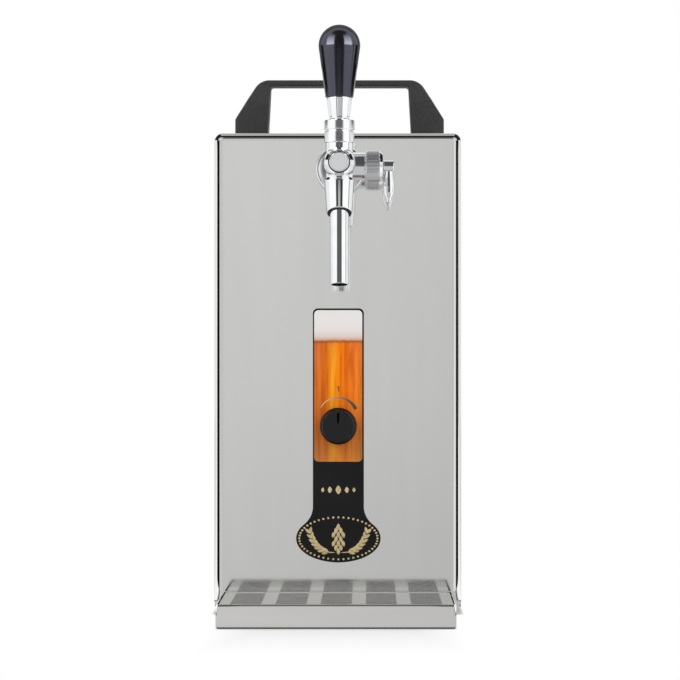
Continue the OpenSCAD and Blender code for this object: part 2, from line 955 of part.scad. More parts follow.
// The handle's outer outline, drawn in x and z above the cover
module handle_outer() {
  foot_x = handle_w / 2;
  top_x = foot_x - slope_w;
  bevel = 1.35 * handle_round;
  polygon([
    [-foot_x, 0], [-foot_x, shoulder_h], [-top_x - 1, handle_h - bevel], [-top_x + bevel, handle_h],
    [top_x - bevel, handle_h], [top_x + 1, handle_h - bevel], [foot_x, shoulder_h], [foot_x, 0]
  ]);
}

module handle_inner() {
  foot_x = handle_w / 2 - leg_w;
  polygon([
    [-foot_x, -over], [-foot_x + leg_lean, handle_h - bar_t],
    [foot_x - leg_lean, handle_h - bar_t], [foot_x, -over]
  ]);
}

module carry_handle() {
  color(grey_black)
    place()
      difference() {
        translate([0, 0, top_z])
          along_y(handle_y - handle_d / 2, handle_y + handle_d / 2)
            difference() {
              intersection() {
                offset(r = handle_round, $fn = 48)
                  offset(delta = -handle_round)
                    union() {
                      handle_outer();
                      translate([-handle_w / 2, -4 * handle_round])
                        square([handle_w, 5 * handle_round]);
                    }
                translate([-handle_w / 2, 0])
                  square([handle_w, handle_h]);
              }
              handle_inner();
            }
        both_sides()
          rod_z(leg_mid_x, handle_y, top_z - over, top_z + handle_bolt_l + over, handle_bolt_r + fit_gap);
      }
}

module handle_bolts() {
  under = top_z - sheet;
  color(steel)
    place()
      both_sides() {
        rod_z(leg_mid_x, handle_y, under - handle_bolt_head_t, under, handle_bolt_head_r);
        rod_z(leg_mid_x, handle_y, under, top_z + handle_bolt_l, handle_bolt_r);
      }
}

// Label and thermostat

// The label's outline, drawn in x and z: a strip with a round-cornered top and an oval foot
module label_outline() {
  step = 6;
  offset(r = -flare_r, $fn = 96)
    offset(r = flare_r, $fn = 96) {
      translate([-label_w / 2, oval_z])
        square([label_w, label_top - oval_z - label_r]);
      translate([-label_w / 2 + label_r, oval_z])
        square([label_w - 2 * label_r, label_top - oval_z]);
      for (side = [-1, 1])
        translate([side * (label_w / 2 - label_r), label_top - label_r])
          circle(label_r);
      translate([0, oval_z])
        polygon([for (a = [0 : step : 360 - step]) [oval_w / 2 * cos(a), oval_h / 2 * sin(a)]]);
    }
}

module label_plate() {
  color("#c8781e")
    place()
      difference() {
        along_y(-label_t, 0)
          translate([label_x, 0])
            label_outline();
        rod_y(label_x, -label_t - over, over, knob_z, label_hole_r);
      }
}

module thermostat_body() {
  color("#e5e2d8")
    place()
      difference() {
        union() {
          block(
            label_x - thermo_w / 2, label_x + thermo_w / 2, sheet, sheet + thermo_d,
            knob_z - thermo_h / 2, thermo_top
          );
          rod_y(label_x, -bushing_out, sheet + over, knob_z, bushing_r);
        }
        rod_y(label_x, -bushing_out - over, shaft_in_y + free_gap, knob_z, shaft_r + run_gap);
        rod_z(bulb_x, capillary_y, thermo_top - 6, thermo_top + over, capillary_r + fit_gap);
      }
}

module thermostat_nut() {
  color(brass)
    place()
      difference() {
        rod_y_hex(label_x, -thermo_nut_t, 0, knob_z, thermo_nut_r);
        rod_y(label_x, -thermo_nut_t - over, over, knob_z, bushing_r + fit_gap);
      }
}

// A hexagonal rod along Y
module rod_y_hex(x, y0, y1, z, r) {
  translate([x, y0, z])
    rotate([-90, 0, 0])
      cylinder(h = y1 - y0, r = r, $fn = 6);
}

module thermostat_shaft() {
  color(steel)
    place()
      rod_y(label_x, shaft_end_y, shaft_in_y, knob_z, shaft_r);
}

module thermostat_knob() {
  edge = 1;
  color(black)
    place()
      translate([label_x, 0, knob_z])
        difference() {
          union() {
            turned_y()
              polygon([
                [0, knob_end_y], [knob_r - edge, knob_end_y], [knob_r, knob_end_y + edge],
                [knob_r, knob_y - skirt_t], [skirt_r - edge / 2, knob_y - skirt_t],
                [skirt_r, knob_y - skirt_t + edge / 2], [skirt_r, knob_y], [0, knob_y]
              ]);
            block(-0.7, 0.7, knob_end_y - 0.3, knob_end_y + edge, 2, knob_r - edge);
          }
          rod_y(0, knob_y - knob_cave_d, knob_y + over, 0, knob_cave_r);
          rod_y(0, shaft_end_y, knob_y + over, 0, shaft_r + fit_gap);
        }
}

module thermostat_bulb() {
  bulb_z1 = block_z1 - bulb_sink;
  bulb_z0 = bulb_z1 - bulb_l;
  color(copper)
    place() {
      rod_z(bulb_x, cave_mid_y, bulb_z0, bulb_z1, pipe_r);
      pipe(
        [
          [bulb_x, cave_mid_y, bulb_z1], [bulb_x, cave_mid_y, lid_top + 8],
          [bulb_x, capillary_y, lid_top + 8], [bulb_x, capillary_y, thermo_top - 5]
        ],
        capillary_r, capillary_r / 2, 5
      );
    }
}

// Tap

module tap_rosette() {
  round = 2;
  color(chrome)
    place()
      at_tap()
        difference() {
          turned_y()
            union() {
              translate([0, -rosette_t])
                square([rosette_r - round, rosette_t]);
              translate([0, -rosette_t + round])
                square([rosette_r, rosette_t - round]);
              translate([rosette_r - round, -rosette_t + round])
                circle(round);
            }
          rod_y(0, -rosette_t - over, over, 0, shank_r + fit_gap);
          block(-rosette_r, rosette_r, 0, round + over, -rosette_r, rosette_r);
        }
}

module tap_shank() {
  color(steel)
    place()
      at_tap()
        difference() {
          rod_y(0, shank_end_y, shank_tail_y, 0, shank_r);
          rod_y(0, shank_end_y - over, outlet_end_y, 0, bore_r);
          rod_y(0, outlet_end_y - over, shank_tail_y + over, 0, coil_r + fit_gap);
        }
}

module shank_nut() {
  nut_l = 7;
  color(brass)
    place()
      at_tap()
        difference() {
          rod_y_hex(0, sheet, sheet + nut_l, 0, shank_r + 5.6);
          rod_y(0, sheet - over, sheet + nut_l + over, 0, shank_r + fit_gap);
        }
}

module coupling_nut() {
  round = 4;
  front = coupling_y - coupling_l;
  color(chrome)
    place()
      at_tap()
        difference() {
          turned_y()
            union() {
              translate([0, front])
                square([coupling_r - round, coupling_l]);
              translate([0, front + round])
                square([coupling_r, coupling_l - round]);
              translate([coupling_r - round, front + round])
                circle(round);
            }
          rod_y(0, tail_y - tail_flange_t - fit_gap, coupling_y + over, 0, shank_r + fit_gap);
          rod_y(0, front - over, coupling_y, 0, tail_neck_r + fit_gap);
        }
}

module tap_body() {
  color(chrome)
    place()
      at_tap()
        difference() {
          union() {
            rod_y(0, tail_y - tail_flange_t, tail_y, 0, tail_flange_r);
            rod_y(0, neck_end_y, tail_y, 0, tail_neck_r);
            rod_y(0, barrel_end_y, neck_end_y, 0, barrel_r);
            rod_z(0, column_y, -socket_drop, band_z0, column_r);
            rod_z(0, column_y, -socket_drop, shoulder_z, column_r + 0.35);
            rod_z(0, column_y, band_z0 - over, collar_web_z0 - 0.2, thread_r);
            rod_x(0, boss_l, comp_y, 0, boss_r);
            rod_x(0, stub_end, comp_y, 0, stub_r);
          }
          rod_y(0, column_y, tail_y + over, 0, bore_r);
          rod_z(0, column_y, seat_z, gland_z0, chamber_r);
          rod_z(0, column_y, gland_z0, collar_web_z0 + over, gland_bore_r);
          rod_z(0, column_y, socket_top - over, seat_z + over, seat_r);
          rod_z(0, column_y, -socket_drop - over, socket_top, spout_r + fit_gap);
          rod_y(0, barrel_end_y - over, column_y, 0, plug_stem_r + fit_gap);
          rod_y(0, barrel_end_y - over, barrel_end_y + plug_t, 0, plug_r + plug_rim);
          rod_x(0, stub_end + over, comp_y, 0, comp_spindle_r + run_gap);
          rod_x(comp_seal_x, stub_end + over, comp_y, 0, comp_seal_r + fit_gap);
        }
}

module front_plug() {
  edge = 0.5;
  color(chrome)
    place()
      at_tap()
        translate([0, barrel_end_y, 0])
          turned_y()
            polygon([
              [0, -edge], [plug_r - edge, -edge], [plug_r, 0], [plug_r, plug_t],
              [plug_stem_r, plug_t], [plug_stem_r, plug_t + plug_stem_l], [0, plug_t + plug_stem_l]
            ]);
}

module collar_nut() {
  edge = 0.6;
  color(chrome)
    place()
      at_tap()
        translate([0, column_y, 0])
          difference() {
            union() {
              difference() {
                rotate_extrude()
                  polygon([
                    [0, band_z0], [band_r - edge, band_z0], [band_r, band_z0 + edge],
                    [band_r, band_z1 - edge], [band_r - edge, band_z1], [groove_r, band_z1],
                    [groove_r, groove_z1], [collar_r - edge, groove_z1], [collar_r, groove_z1 + edge],
                    [collar_r, collar_top - edge], [collar_r - edge, collar_top], [0, collar_top]
                  ]);
                rod_z(0, 0, band_z0 - over, collar_web_z0, thread_r + fit_gap);
                rod_z(0, 0, collar_web_z0 - over, collar_floor + over, tongue_hole_r());
                rod_z(0, 0, collar_floor, collar_top + over, collar_bore_r);
              }
              intersection() {
                both_sides()
                  block(
                    cheek_x0 + cheek_t + lug_gap, collar_r,
                    lever_pin_y - lug_half_w, lever_pin_y + lug_half_w,
                    collar_floor - 0.5, lug_top
                  );
                rod_z(0, 0, collar_web_z0, collar_top, collar_bore_r + 0.5);
              }
            }
            rod_x(-lever_pin_half, lever_pin_half, lever_pin_y, lever_pin_z, pin_r + fit_gap);
          }
}

function tongue_hole_r() = norm([tongue_x, tongue_y]) + free_gap;

module lever_pin() {
  color(steel)
    place()
      at_tap()
        rod_x(-lever_pin_half, lever_pin_half, column_y + lever_pin_y, lever_pin_z, pin_r);
}

// One cheek of the lever's fork, drawn in y and z from the column's axis
module cheek_outline() {
  translate([lever_pin_y, lever_pin_z])
    circle(cheek_pin_r);
  translate([0, finger_z])
    circle(cheek_finger_r);
  polygon([
    [lever_pin_y - 1.2, lever_base_z + 0.5], [lever_pin_y - cheek_pin_r + 0.2, lever_pin_z + 0.6],
    [lever_pin_y, lever_pin_z - cheek_pin_r], [0, finger_z - cheek_finger_r],
    [cheek_finger_r, finger_z], [cheek_finger_r, lever_base_z + 0.5]
  ]);
}

module lever_yoke() {
  color(chrome)
    place()
      at_tap()
        translate([0, column_y, 0])
          difference() {
            union() {
              translate([0, 0, lever_base_z])
                cylinder(h = lever_base_h, r1 = ferrule_foot_r, r2 = ferrule_mid_r);
              rod_z(0, 0, lever_base_z, stud_top_z, stud_r);
              both_sides()
                along_x(cheek_x0, cheek_x0 + cheek_t)
                  cheek_outline();
              rod_x(-cheek_x0 - over, cheek_x0 + over, 0, finger_z, finger_r);
            }
            rod_x(-2 * collar_r, 2 * collar_r, lever_pin_y, lever_pin_z, pin_r + run_gap);
          }
}

module handle_ferrule() {
  color(chrome)
    place()
      at_tap()
        translate([0, column_y, 0])
          difference() {
            translate([0, 0, lever_base_z + lever_base_h])
              cylinder(h = grip_foot_z - lever_base_z - lever_base_h, r1 = ferrule_mid_r, r2 = ferrule_top_r);
            rod_z(0, 0, lever_base_z, grip_foot_z + over, stud_r + fit_gap);
          }
}

module tap_grip() {
  color(black)
    place()
      at_tap()
        translate([0, column_y, 0])
          difference() {
            union() {
              translate([0, 0, grip_foot_z])
                cylinder(h = grip_wide_z - grip_foot_z, r1 = grip_foot_r, r2 = grip_wide_r);
              translate([0, 0, grip_ball_z])
                sphere(grip_r);
            }
            rod_z(0, 0, grip_foot_z - over, stud_top_z + free_gap, stud_r + fit_gap);
          }
}

module valve_spindle() {
  color(steel)
    place()
      at_tap()
        translate([0, column_y, 0])
          difference() {
            union() {
              rod_z(0, 0, washer_z + washer_h, tongue_foot + over, spindle_r);
              rod_z(0, 0, washer_z + washer_h, washer_z + 2 * washer_h, washer_r);
              rod_z(0, 0, washer_z, washer_z + washer_h + over, spindle_r - 1);
              block(-tongue_x, tongue_x, -tongue_y, tongue_y, tongue_foot, tongue_top);
            }
            rod_x(-tongue_x - over, tongue_x + over, 0, finger_z, tongue_eye_r);
          }
}

module valve_washer() {
  color(rubber)
    place()
      at_tap()
        translate([0, column_y, 0])
          difference() {
            rod_z(0, 0, washer_z, washer_z + washer_h, washer_r);
            rod_z(0, 0, washer_z - over, washer_z + washer_h + over, spindle_r - 1 + fit_gap);
          }
}

module spindle_gland() {
  color(brass)
    place()
      at_tap()
        translate([0, column_y, 0])
          difference() {
            rod_z(0, 0, gland_z0, gland_z0 + gland_h, gland_bore_r - fit_gap);
            rod_z(0, 0, gland_z0 - over, gland_z0 + gland_h + over, spindle_r + run_gap);
          }
}

module tap_seals() {
  seal_z = gland_z0 + gland_h;
  color(rubber)
    place()
      at_tap() {
        difference() {
          rod_y(0, tail_y, shank_end_y, 0, tail_flange_r);
          rod_y(0, tail_y - over, shank_end_y + over, 0, bore_r);
        }
        difference() {
          rod_z(0, column_y, seal_z, seal_z + seal_h, gland_bore_r - fit_gap);
          rod_z(0, column_y, seal_z - over, seal_z + seal_h + over, tongue_hole_r());
        }
        difference() {
          rod_x(comp_seal_x, stub_end, comp_y, 0, comp_seal_r);
          rod_x(comp_seal_x - over, stub_end + over, comp_y, 0, comp_spindle_r + run_gap);
        }
      }
}

module spout() {
  color(chrome)
    place()
      at_tap()
        difference() {
          rod_z(0, column_y, -spout_drop, socket_top, spout_r);
          rod_z(0, column_y, -spout_drop - over, socket_top + over, spout_r - spout_wall);
        }
}

// Compensator

module compensator_nut() {
  color(chrome)
    place()
      at_tap()
        translate([0, comp_y, 0])
          difference() {
            turned_x()
              polygon([
                [0, nut_x0], [knurl_r, nut_x0], [knurl_r, nut_x1 - nut_chamfer],
                [knurl_r - nut_chamfer, nut_x1], [0, nut_x1]
              ]);
            for (i = [0 : knurl_count - 1])
              rotate([i * 360 / knurl_count, 0, 0])
                block(
                  nut_x0 - over, nut_x1 - nut_chamfer - knurl_land, -knurl_depth, knurl_depth,
                  knurl_r - knurl_depth, knurl_r + over
                );
            rod_x(nut_x0 - over, stub_end + free_gap, 0, 0, stub_r + fit_gap);
            rod_x(nut_x0, nut_x1 + over, 0, 0, comp_spindle_r + free_gap);
          }
}

module compensator_spindle() {
  color(steel)
    place()
      at_tap()
        translate([0, comp_y, 0]) {
          rod_x(spindle_in_x, hub_x1 - over, 0, 0, comp_spindle_r);
          rod_x(drive_pin_x, spindle_in_x + over, 0, comp_throw, drive_pin_r);
        }
}

module compensator_lever() {
  mid_x = (hub_x0 + hub_x1) / 2;
  neck_r = 2.2;
  tip_r = 1.4;
  bulge_z = -15;
  color(chrome)
    place()
      at_tap()
        translate([0, comp_y, 0])
          difference() {
            union() {
              rod_x(hub_x0, hub_x1, 0, 0, hub_r);
              translate([mid_x, 0, bulge_z]) {
                sphere(comp_lever_r);
                cylinder(h = -bulge_z, r1 = comp_lever_r * 0.97, r2 = neck_r);
                translate([0, 0, -comp_lever_l - bulge_z])
                  cylinder(h = comp_lever_l + bulge_z, r1 = tip_r, r2 = comp_lever_r * 0.97);
              }
              translate([mid_x, 0, -comp_lever_l])
                sphere(tip_r);
            }
            rod_x(hub_x0 - over, hub_x1 - over, 0, 0, comp_spindle_r + fit_gap);
          }
}

module compensator_cone() {
  flute_r = 1.6;
  color("#e8e6dc")
    place()
      at_tap()
        translate([0, comp_y, 0])
          difference() {
            union() {
              rod_y(0, -comp_cone_half, comp_cone_half, 0, comp_cone_r);
              translate([0, comp_cone_half, 0])
                rotate([-90, 0, 0])
                  cylinder(h = comp_cone_nose, r1 = comp_cone_r, r2 = comp_cone_tip_r);
            }
            block(
              drive_pin_x - free_gap, comp_cone_r + over, -comp_slot_half, comp_slot_half,
              -comp_throw - drive_pin_r - free_gap, comp_throw + drive_pin_r + free_gap
            );
            for (a = [90, 180, 270])
              rotate([0, a, 0])
                rod_y(
                  comp_cone_r, -comp_cone_half - over, comp_cone_half + comp_cone_nose + over,
                  0, flute_r
                );
          }
}

// Drip tray

module drip_tray() {
  tab_x = tray_w / 2 - sheet;
  color(steel)
    place()
      translate([0, tray_mid_y, 0]) {
        difference() {
          tub(tray_w, tray_d, tray_h, tray_r);
          translate([0, 0, sheet])
            tub(tray_w - 2 * sheet, tray_d - 2 * sheet, tray_h, tray_r - sheet);
        }
        both_sides()
          for (end = [-1, 1])
            block(
              tab_x - tab_d, tab_x + sheet / 2,
              end * tray_d / 4 - tab_w / 2, end * tray_d / 4 + tab_w / 2,
              grille_top - grille_t - sheet, grille_top - grille_t
            );
      }
}

module drip_grille() {
  color(steel)
    place()
      translate([0, tray_mid_y, grille_top - grille_t])
        linear_extrude(grille_t)
          difference() {
            rounded_rect(grille_w, grille_d, tray_r - sheet);
            for (group = [0 : slot_groups - 1], row = [0 : slot_rows - 1])
              if (!in_notch(group, row))
                translate([slot_x(group), slot_y(row)])
                  slot(slot_l, slot_w);
            translate([0, -grille_d / 2 - notch_r + notch_depth])
              circle(notch_r);
          }
}

function slot_x(group) = (group - (slot_groups - 1) / 2) * slot_group_pitch;
function slot_y(row) = (row - (slot_rows - 1) / 2) * slot_pitch;

// True for slots that would run into the thumb notch
function in_notch(group, row) =
  abs(slot_x(group)) < notch_r + slot_l / 2
  && slot_y(row) < -grille_d / 2 + notch_depth + slot_w / 2 + 2;

// Cooling unit

module lid_holes() {
  for (side = [-1, 1]) {
    rod_z(side * coil_end_x, coil_y, jacket_top - over, lid_top + over, coil_r + free_gap);
    rod_z(side * evap_end_x, evap_y, jacket_top - over, lid_top + over, pipe_r + free_gap);
  }
  rod_z(bulb_x, cave_mid_y, jacket_top - over, lid_top + over, capillary_r + free_gap);
}

module insulation_jacket() {
  color(foam)
    place()
      difference() {
        block(-jacket_x, jacket_x, jacket_y0, jacket_y1, floor_z, jacket_top);
        block(-cave_x, cave_x, cave_y0, cave_y1, ledge_z, jacket_top + over);
        block(-cave_x, cave_x, cave_y0 + ledge_w, cave_y1 - ledge_w, floor_z + jacket_floor, ledge_z + over);
        for (side = [-1, 1], y = foot_ys())
          rod_z(
            side * (half_w - foot_inset), y,
            floor_z - over, floor_z + foot_cap_h + free_gap, foot_cap_r + free_gap
          );
      }
}

module insulation_lid() {
  color(foam)
    place()
      difference() {
        block(-jacket_x, jacket_x, jacket_y0, jacket_y1, jacket_top, lid_top);
        lid_holes();
      }
}

module cooling_block() {
  color(aluminium)
    place()
      difference() {
        block(-block_x, block_x, block_y0, block_y1, block_z0, block_z1);
        for (i = [0 : coil_passes - 1])
          rod_z(
            coil_pitch * (i - (coil_passes - 1) / 2), coil_y,
            block_z0 - over, block_z1 + over, coil_r + fit_gap
          );
        for (i = [0 : evap_passes - 1])
          rod_z(
            evap_pitch * (i - (evap_passes - 1) / 2), evap_y,
            block_z0 - over, block_z1 + over, pipe_r + fit_gap
          );
        rod_z(bulb_x, cave_mid_y, block_z1 - bulb_sink - bulb_l - over, block_z1 + over, pipe_r + fit_gap);
      }
}

module product_coil() {
  color(steel)
    place()
      pipe(
        coil_points(coil_passes, coil_pitch, coil_y, block_z0 - coil_over, block_z1 + coil_over, line_end_z),
        coil_r, pipe_wall, coil_pitch / 2
      );
}

module evaporator_coil() {
  color(copper)
    place()
      pipe(
        coil_points(evap_passes, evap_pitch, evap_y, block_z0 - coil_over, block_z1 + coil_over, line_end_z),
        pipe_r, pipe_wall, evap_pitch / 2
      );
}

// From the coil's right end to the tail of the tap's shank
module outlet_line() {
  color(steel)
    place()
      pipe(
        [
          [coil_end_x, coil_y, line_end_z], [coil_end_x, coil_y, tap_z],
          [tap_x, coil_y, tap_z], [tap_x, outlet_end_y, tap_z]
        ],
        coil_r, pipe_wall, line_bend
      );
}

// From the rear inlet to the coil's left end
module inlet_line() {
  color(steel)
    place()
      pipe(
        [
          [inlet_x, coil_y, line_end_z], [inlet_x, coil_y, inlet_z],
          [inlet_x, rear_in_y - inlet_in_l, inlet_z]
        ],
        coil_r, pipe_wall, line_bend
      );
}

module compressor() {
  shell_x = sqrt(pow(compressor_r, 2) - pow(suction_x, 2));
  color("#26282a")
    place() {
      translate([0, compressor_y, can_z])
        rotate_extrude()
          union() {
            square([compressor_r - can_round, compressor_h]);
            translate([0, can_round])
              square([compressor_r, compressor_h - 2 * can_round]);
            for (z = [can_round, compressor_h - can_round])
              translate([compressor_r - can_round, z])
                intersection() {
                  circle(can_round);
                  translate([0, -can_round])
                    square([can_round, 2 * can_round]);
                }
          }
      difference() {
        block(-mount_x, mount_x, compressor_y - mount_y, compressor_y + mount_y, mount_z, can_z + 1);
        for (side = [-1, 1], end = [-1, 1])
          rod_z(
            side * mount_bolt_x, compressor_y + end * mount_bolt_y,
            mount_z - over, can_z + 1 + over, bolt_r + fit_gap
          );
      }
      rod_x(compressor_r - 4, compressor_r + stub_out, discharge_y, pipe_port_z, pipe_r);
      rod_y(
        suction_x, compressor_y - shell_x - stub_out, compressor_y - shell_x + 5,
        pipe_port_z, pipe_r
      );
    }
}

module compressor_grommets() {
  color(rubber)
    place()
      for (side = [-1, 1], end = [-1, 1])
        translate([side * mount_bolt_x, compressor_y + end * mount_bolt_y, 0])
          difference() {
            rod_z(0, 0, floor_z, mount_z, grommet_r);
            rod_z(0, 0, floor_z - over, mount_z + over, bolt_r + fit_gap);
          }
}

module compressor_bolts() {
  head_r = 5.5;
  head_t = 3;
  plate_top = can_z + 1;
  color(steel)
    place()
      for (side = [-1, 1], end = [-1, 1])
        translate([side * mount_bolt_x, compressor_y + end * mount_bolt_y, 0]) {
          rod_z(0, 0, base_z - 1, plate_top, bolt_r);
          translate([0, 0, plate_top])
            cylinder(h = head_t, r = head_r, $fn = 6);
        }
}

module condenser_tubes() {
  color(copper)
    place()
      pipe(condenser_points(), pipe_r, pipe_wall, cond_pass_pitch / 2);
}

module condenser_bores() {
  for (i = [0 : cond_passes - 1])
    rod_x(-cond_x - 3, cond_x + 3, cond_mid_y, cond_first_z - i * cond_pass_pitch, pipe_r + fit_gap);
}

module condenser_fins() {
  fins = 2 * floor((cond_x - 4) / fin_pitch) + 1;
  color(aluminium)
    place()
      difference() {
        union() {
          for (i = [0 : fins - 1])
            translate([(i - (fins - 1) / 2) * fin_pitch - fin_t / 2, cond_y0, cond_z0 + 2])
              cube([fin_t, cond_y1 - cond_y0, cond_z1 - cond_z0 - 4]);
          both_sides() {
            block(cond_x, cond_x + plate_t, shroud_y0, rear_in_y, cond_z0, cond_z1);
            block(
              cond_x, cond_x + plate_t + plate_flange, rear_in_y - plate_t, rear_in_y,
              cond_z0, cond_z1
            );
          }
        }
        condenser_bores();
        both_sides()
          for (z = plate_screw_zs)
            rod_y(plate_screw_x, rear_in_y - 2 * plate_t, rear_in_y + over, z, screw_r + fit_gap);
      }
}

module fan_shroud() {
  color(grey_black)
    place()
      difference() {
        union() {
          difference() {
            block(-cond_x, cond_x, shroud_y0, shroud_y1, cond_z0, cond_z1);
            rod_y(0, shroud_y0 - over, shroud_y1 + over, cond_mid_z, fan_r);
          }
          difference() {
            rod_y(0, fan_ring_y, shroud_y1, cond_mid_z, fan_r + ring_t);
            rod_y(0, fan_ring_y - over, shroud_y1 + over, cond_mid_z, fan_r);
          }
          translate([0, 0, cond_mid_z])
            for (a = [45, 135])
              rotate([0, a, 0])
                block(
                  -fan_r - ring_t / 2, fan_r + ring_t / 2, fan_ring_y, fan_ring_y + arm_d,
                  -arm_w / 2, arm_w / 2
                );
          rod_y(0, motor_y1 - motor_cup_d, motor_y1, cond_mid_z, motor_cup_r);
        }
        rod_y(0, motor_y1 - motor_cup_d - over, motor_y1 + over, cond_mid_z, motor_r + fit_gap);
      }
}

module fan_motor() {
  color(grey_black)
    place()
      difference() {
        rod_y(0, motor_y0, motor_y1, cond_mid_z, motor_r);
        rod_y(0, motor_y0 + motor_floor, motor_y1 + over, cond_mid_z, fan_shaft_r + run_gap);
      }
}

module fan_rotor() {
  blade_l = fan_r - fan_tip - fan_hub_r + 2;
  mid_y = fan_hub_y0 + fan_hub_l / 2;
  color(black)
    place()
      translate([0, 0, cond_mid_z]) {
        rod_y(0, motor_y0 + motor_floor + over, fan_hub_y0 + over, 0, fan_shaft_r);
        rod_y(0, fan_hub_y0, fan_hub_y0 + fan_hub_l, 0, fan_hub_r);
        for (i = [0 : fan_blades - 1])
          rotate([0, i * 360 / fan_blades, 0])
            translate([fan_hub_r - 2, mid_y, 0])
              rotate([blade_pitch, 0, 0])
                translate([0, -blade_t / 2, -blade_chord / 2])
                  cube([blade_l, blade_t, blade_chord]);
      }
}

module filter_drier() {
  color(copper)
    place()
      rod_z(drier_x, drier_y, drier_z0, drier_z1, drier_r);
}

module refrigerant_lines() {
  suction_end_y = compressor_y - sqrt(pow(compressor_r, 2) - pow(suction_x, 2)) - stub_out;
  cap_r = capillary_r;
  color(copper)
    place() {
      pipe(
        [
          [compressor_r + stub_out, discharge_y, pipe_port_z], [side_line_x, discharge_y, pipe_port_z],
          [side_line_x, discharge_y, cond_first_z], [side_line_x, cond_mid_y, cond_first_z],
          [cond_tube_x, cond_mid_y, cond_first_z]
        ],
        pipe_r, pipe_wall, line_bend
      );
      pipe(
        [
          [evap_end_x, evap_y, line_end_z], [evap_end_x, evap_y, line_end_z + 10],
          [evap_end_x, suction_y, line_end_z + 10], [evap_end_x, suction_y, pipe_port_z],
          [evap_end_x, suction_end_y, pipe_port_z]
        ],
        pipe_r, pipe_wall, line_bend
      );
      pipe(
        [
          [-cond_tube_x, cond_mid_y, cond_last_z], [drier_x, cond_mid_y, cond_last_z],
          [drier_x, drier_y, cond_last_z], [drier_x, drier_y, drier_z0]
        ],
        pipe_r, pipe_wall, line_bend
      );
      pipe(
        [
          [drier_x, drier_y, drier_z1], [drier_x, drier_y, capillary_top],
          [drier_x, evap_y, capillary_top], [-evap_end_x, evap_y, capillary_top],
          [-evap_end_x, evap_y, line_end_z]
        ],
        cap_r, cap_r / 2, 6
      );
    }
}

module terminal_box() {
  color("#d9d9d4")
    place()
      block(-box_w / 2, box_w / 2, jacket_y1, jacket_y1 + box_d, box_z, box_z + box_h);
}

// Rear fittings

module inlet_fitting() {
  color("#d8d8d2")
    place()
      difference() {
        union() {
          rod_y(inlet_x, rear_in_y - inlet_in_l, body_d + over, inlet_z, inlet_thread_r);
          rod_y_hex(inlet_x, body_d, body_d + inlet_flange_t, inlet_z, inlet_flange_r);
          rod_y(inlet_x, body_d, inlet_end_y, inlet_z, inlet_body_r);
          difference() {
            rod_y_hex(inlet_x, rear_in_y - 6, rear_in_y, inlet_z, inlet_flange_r);
            rod_y(inlet_x, rear_in_y - 6 - over, rear_in_y + over, inlet_z, inlet_thread_r - over);
          }
        }
        rod_y(inlet_x, inlet_stop_y, inlet_end_y + over, inlet_z, line_r);
        rod_y(inlet_x, rear_in_y - inlet_in_l - over, inlet_stop_y + over, inlet_z, inlet_bore_r);
        rod_y(inlet_x, inlet_end_y - collet_cave_d, inlet_end_y + over, inlet_z, collet_r + run_gap);
      }
}

module inlet_collet() {
  color("#4a6fa5")
    place()
      difference() {
        union() {
          rod_y(inlet_x, inlet_end_y - collet_l, inlet_end_y + collet_out, inlet_z, collet_r);
          rod_y(
            inlet_x, inlet_end_y + collet_out - collet_flange_t, inlet_end_y + collet_out,
            inlet_z, collet_flange_r
          );
        }
        rod_y(inlet_x, inlet_end_y - collet_l - over, inlet_end_y + collet_out + over, inlet_z, line_r);
      }
}

module cable_gland() {
  dome_r = 3;
  color(black)
    place()
      difference() {
        union() {
          rod_y(gland_x, rear_in_y - gland_in_l, body_d + over, gland_z, gland_thread_r);
          rod_y_hex(gland_x, body_d, body_d + gland_flange_t, gland_z, gland_hex_r);
          rod_y(gland_x, body_d, body_d + gland_out - dome_r, gland_z, gland_dome_r);
          translate([gland_x, body_d + gland_out - dome_r, gland_z])
            rotate([-90, 0, 0])
              cylinder(h = dome_r, r1 = gland_dome_r, r2 = gland_dome_r - dome_r);
          rod_y_hex(gland_x, rear_in_y - 5, rear_in_y, gland_z, gland_hex_r);
        }
        rod_y(gland_x, rear_in_y - gland_in_l - over, body_d + gland_out + over, gland_z, cord_r);
      }
}

module switch_frame() {
  rim_w = switch_w + 2 * switch_rim;
  rim_h = switch_h + 2 * switch_rim;
  open_w = switch_w - 2 * rocker_wall;
  open_h = switch_h - 2 * rocker_wall;
  color(black)
    place()
      translate([switch_x, 0, switch_z])
        difference() {
          union() {
            along_y(body_d, body_d + switch_rim_t)
              rounded_rect(rim_w, rim_h, 1.5);
            block(-switch_w / 2, switch_w / 2, body_d - switch_d, body_d + over, -switch_h / 2, switch_h / 2);
          }
          block(
            -open_w / 2, open_w / 2, body_d - switch_d + rocker_wall, body_d + switch_rim_t + over,
            -open_h / 2, open_h / 2
          );
          rod_x(-switch_w / 2 + 0.4, switch_w / 2 - 0.4, rocker_y(), 0, pin_r + run_gap);
        }
}

function rocker_y() = body_d - 5;

// The rocker lies tilted to its off side
module switch_rocker() {
  key_w = switch_w - 2 * rocker_wall - 2 * rocker_gap;
  key_h = switch_h - 2 * rocker_wall - 2 * rocker_gap;
  face_y = body_d + rocker_out - rocker_y();
  dip = 1.4;
  color("#b02418")
    place()
      translate([switch_x, rocker_y(), switch_z])
        rotate([-rocker_throw / 2, 0, 0]) {
          along_x(-key_w / 2, key_w / 2)
            polygon([
              [-2.5, -2], [0, -key_h / 2 + 1.2], [face_y, -key_h / 2 + 0.9], [face_y - dip, 0],
              [face_y, key_h / 2 - 0.9], [0, key_h / 2 - 1.2], [-2.5, 2]
            ]);
          rod_x(-switch_w / 2 + 0.6, switch_w / 2 - 0.6, 0, 0, pin_r);
        }
}

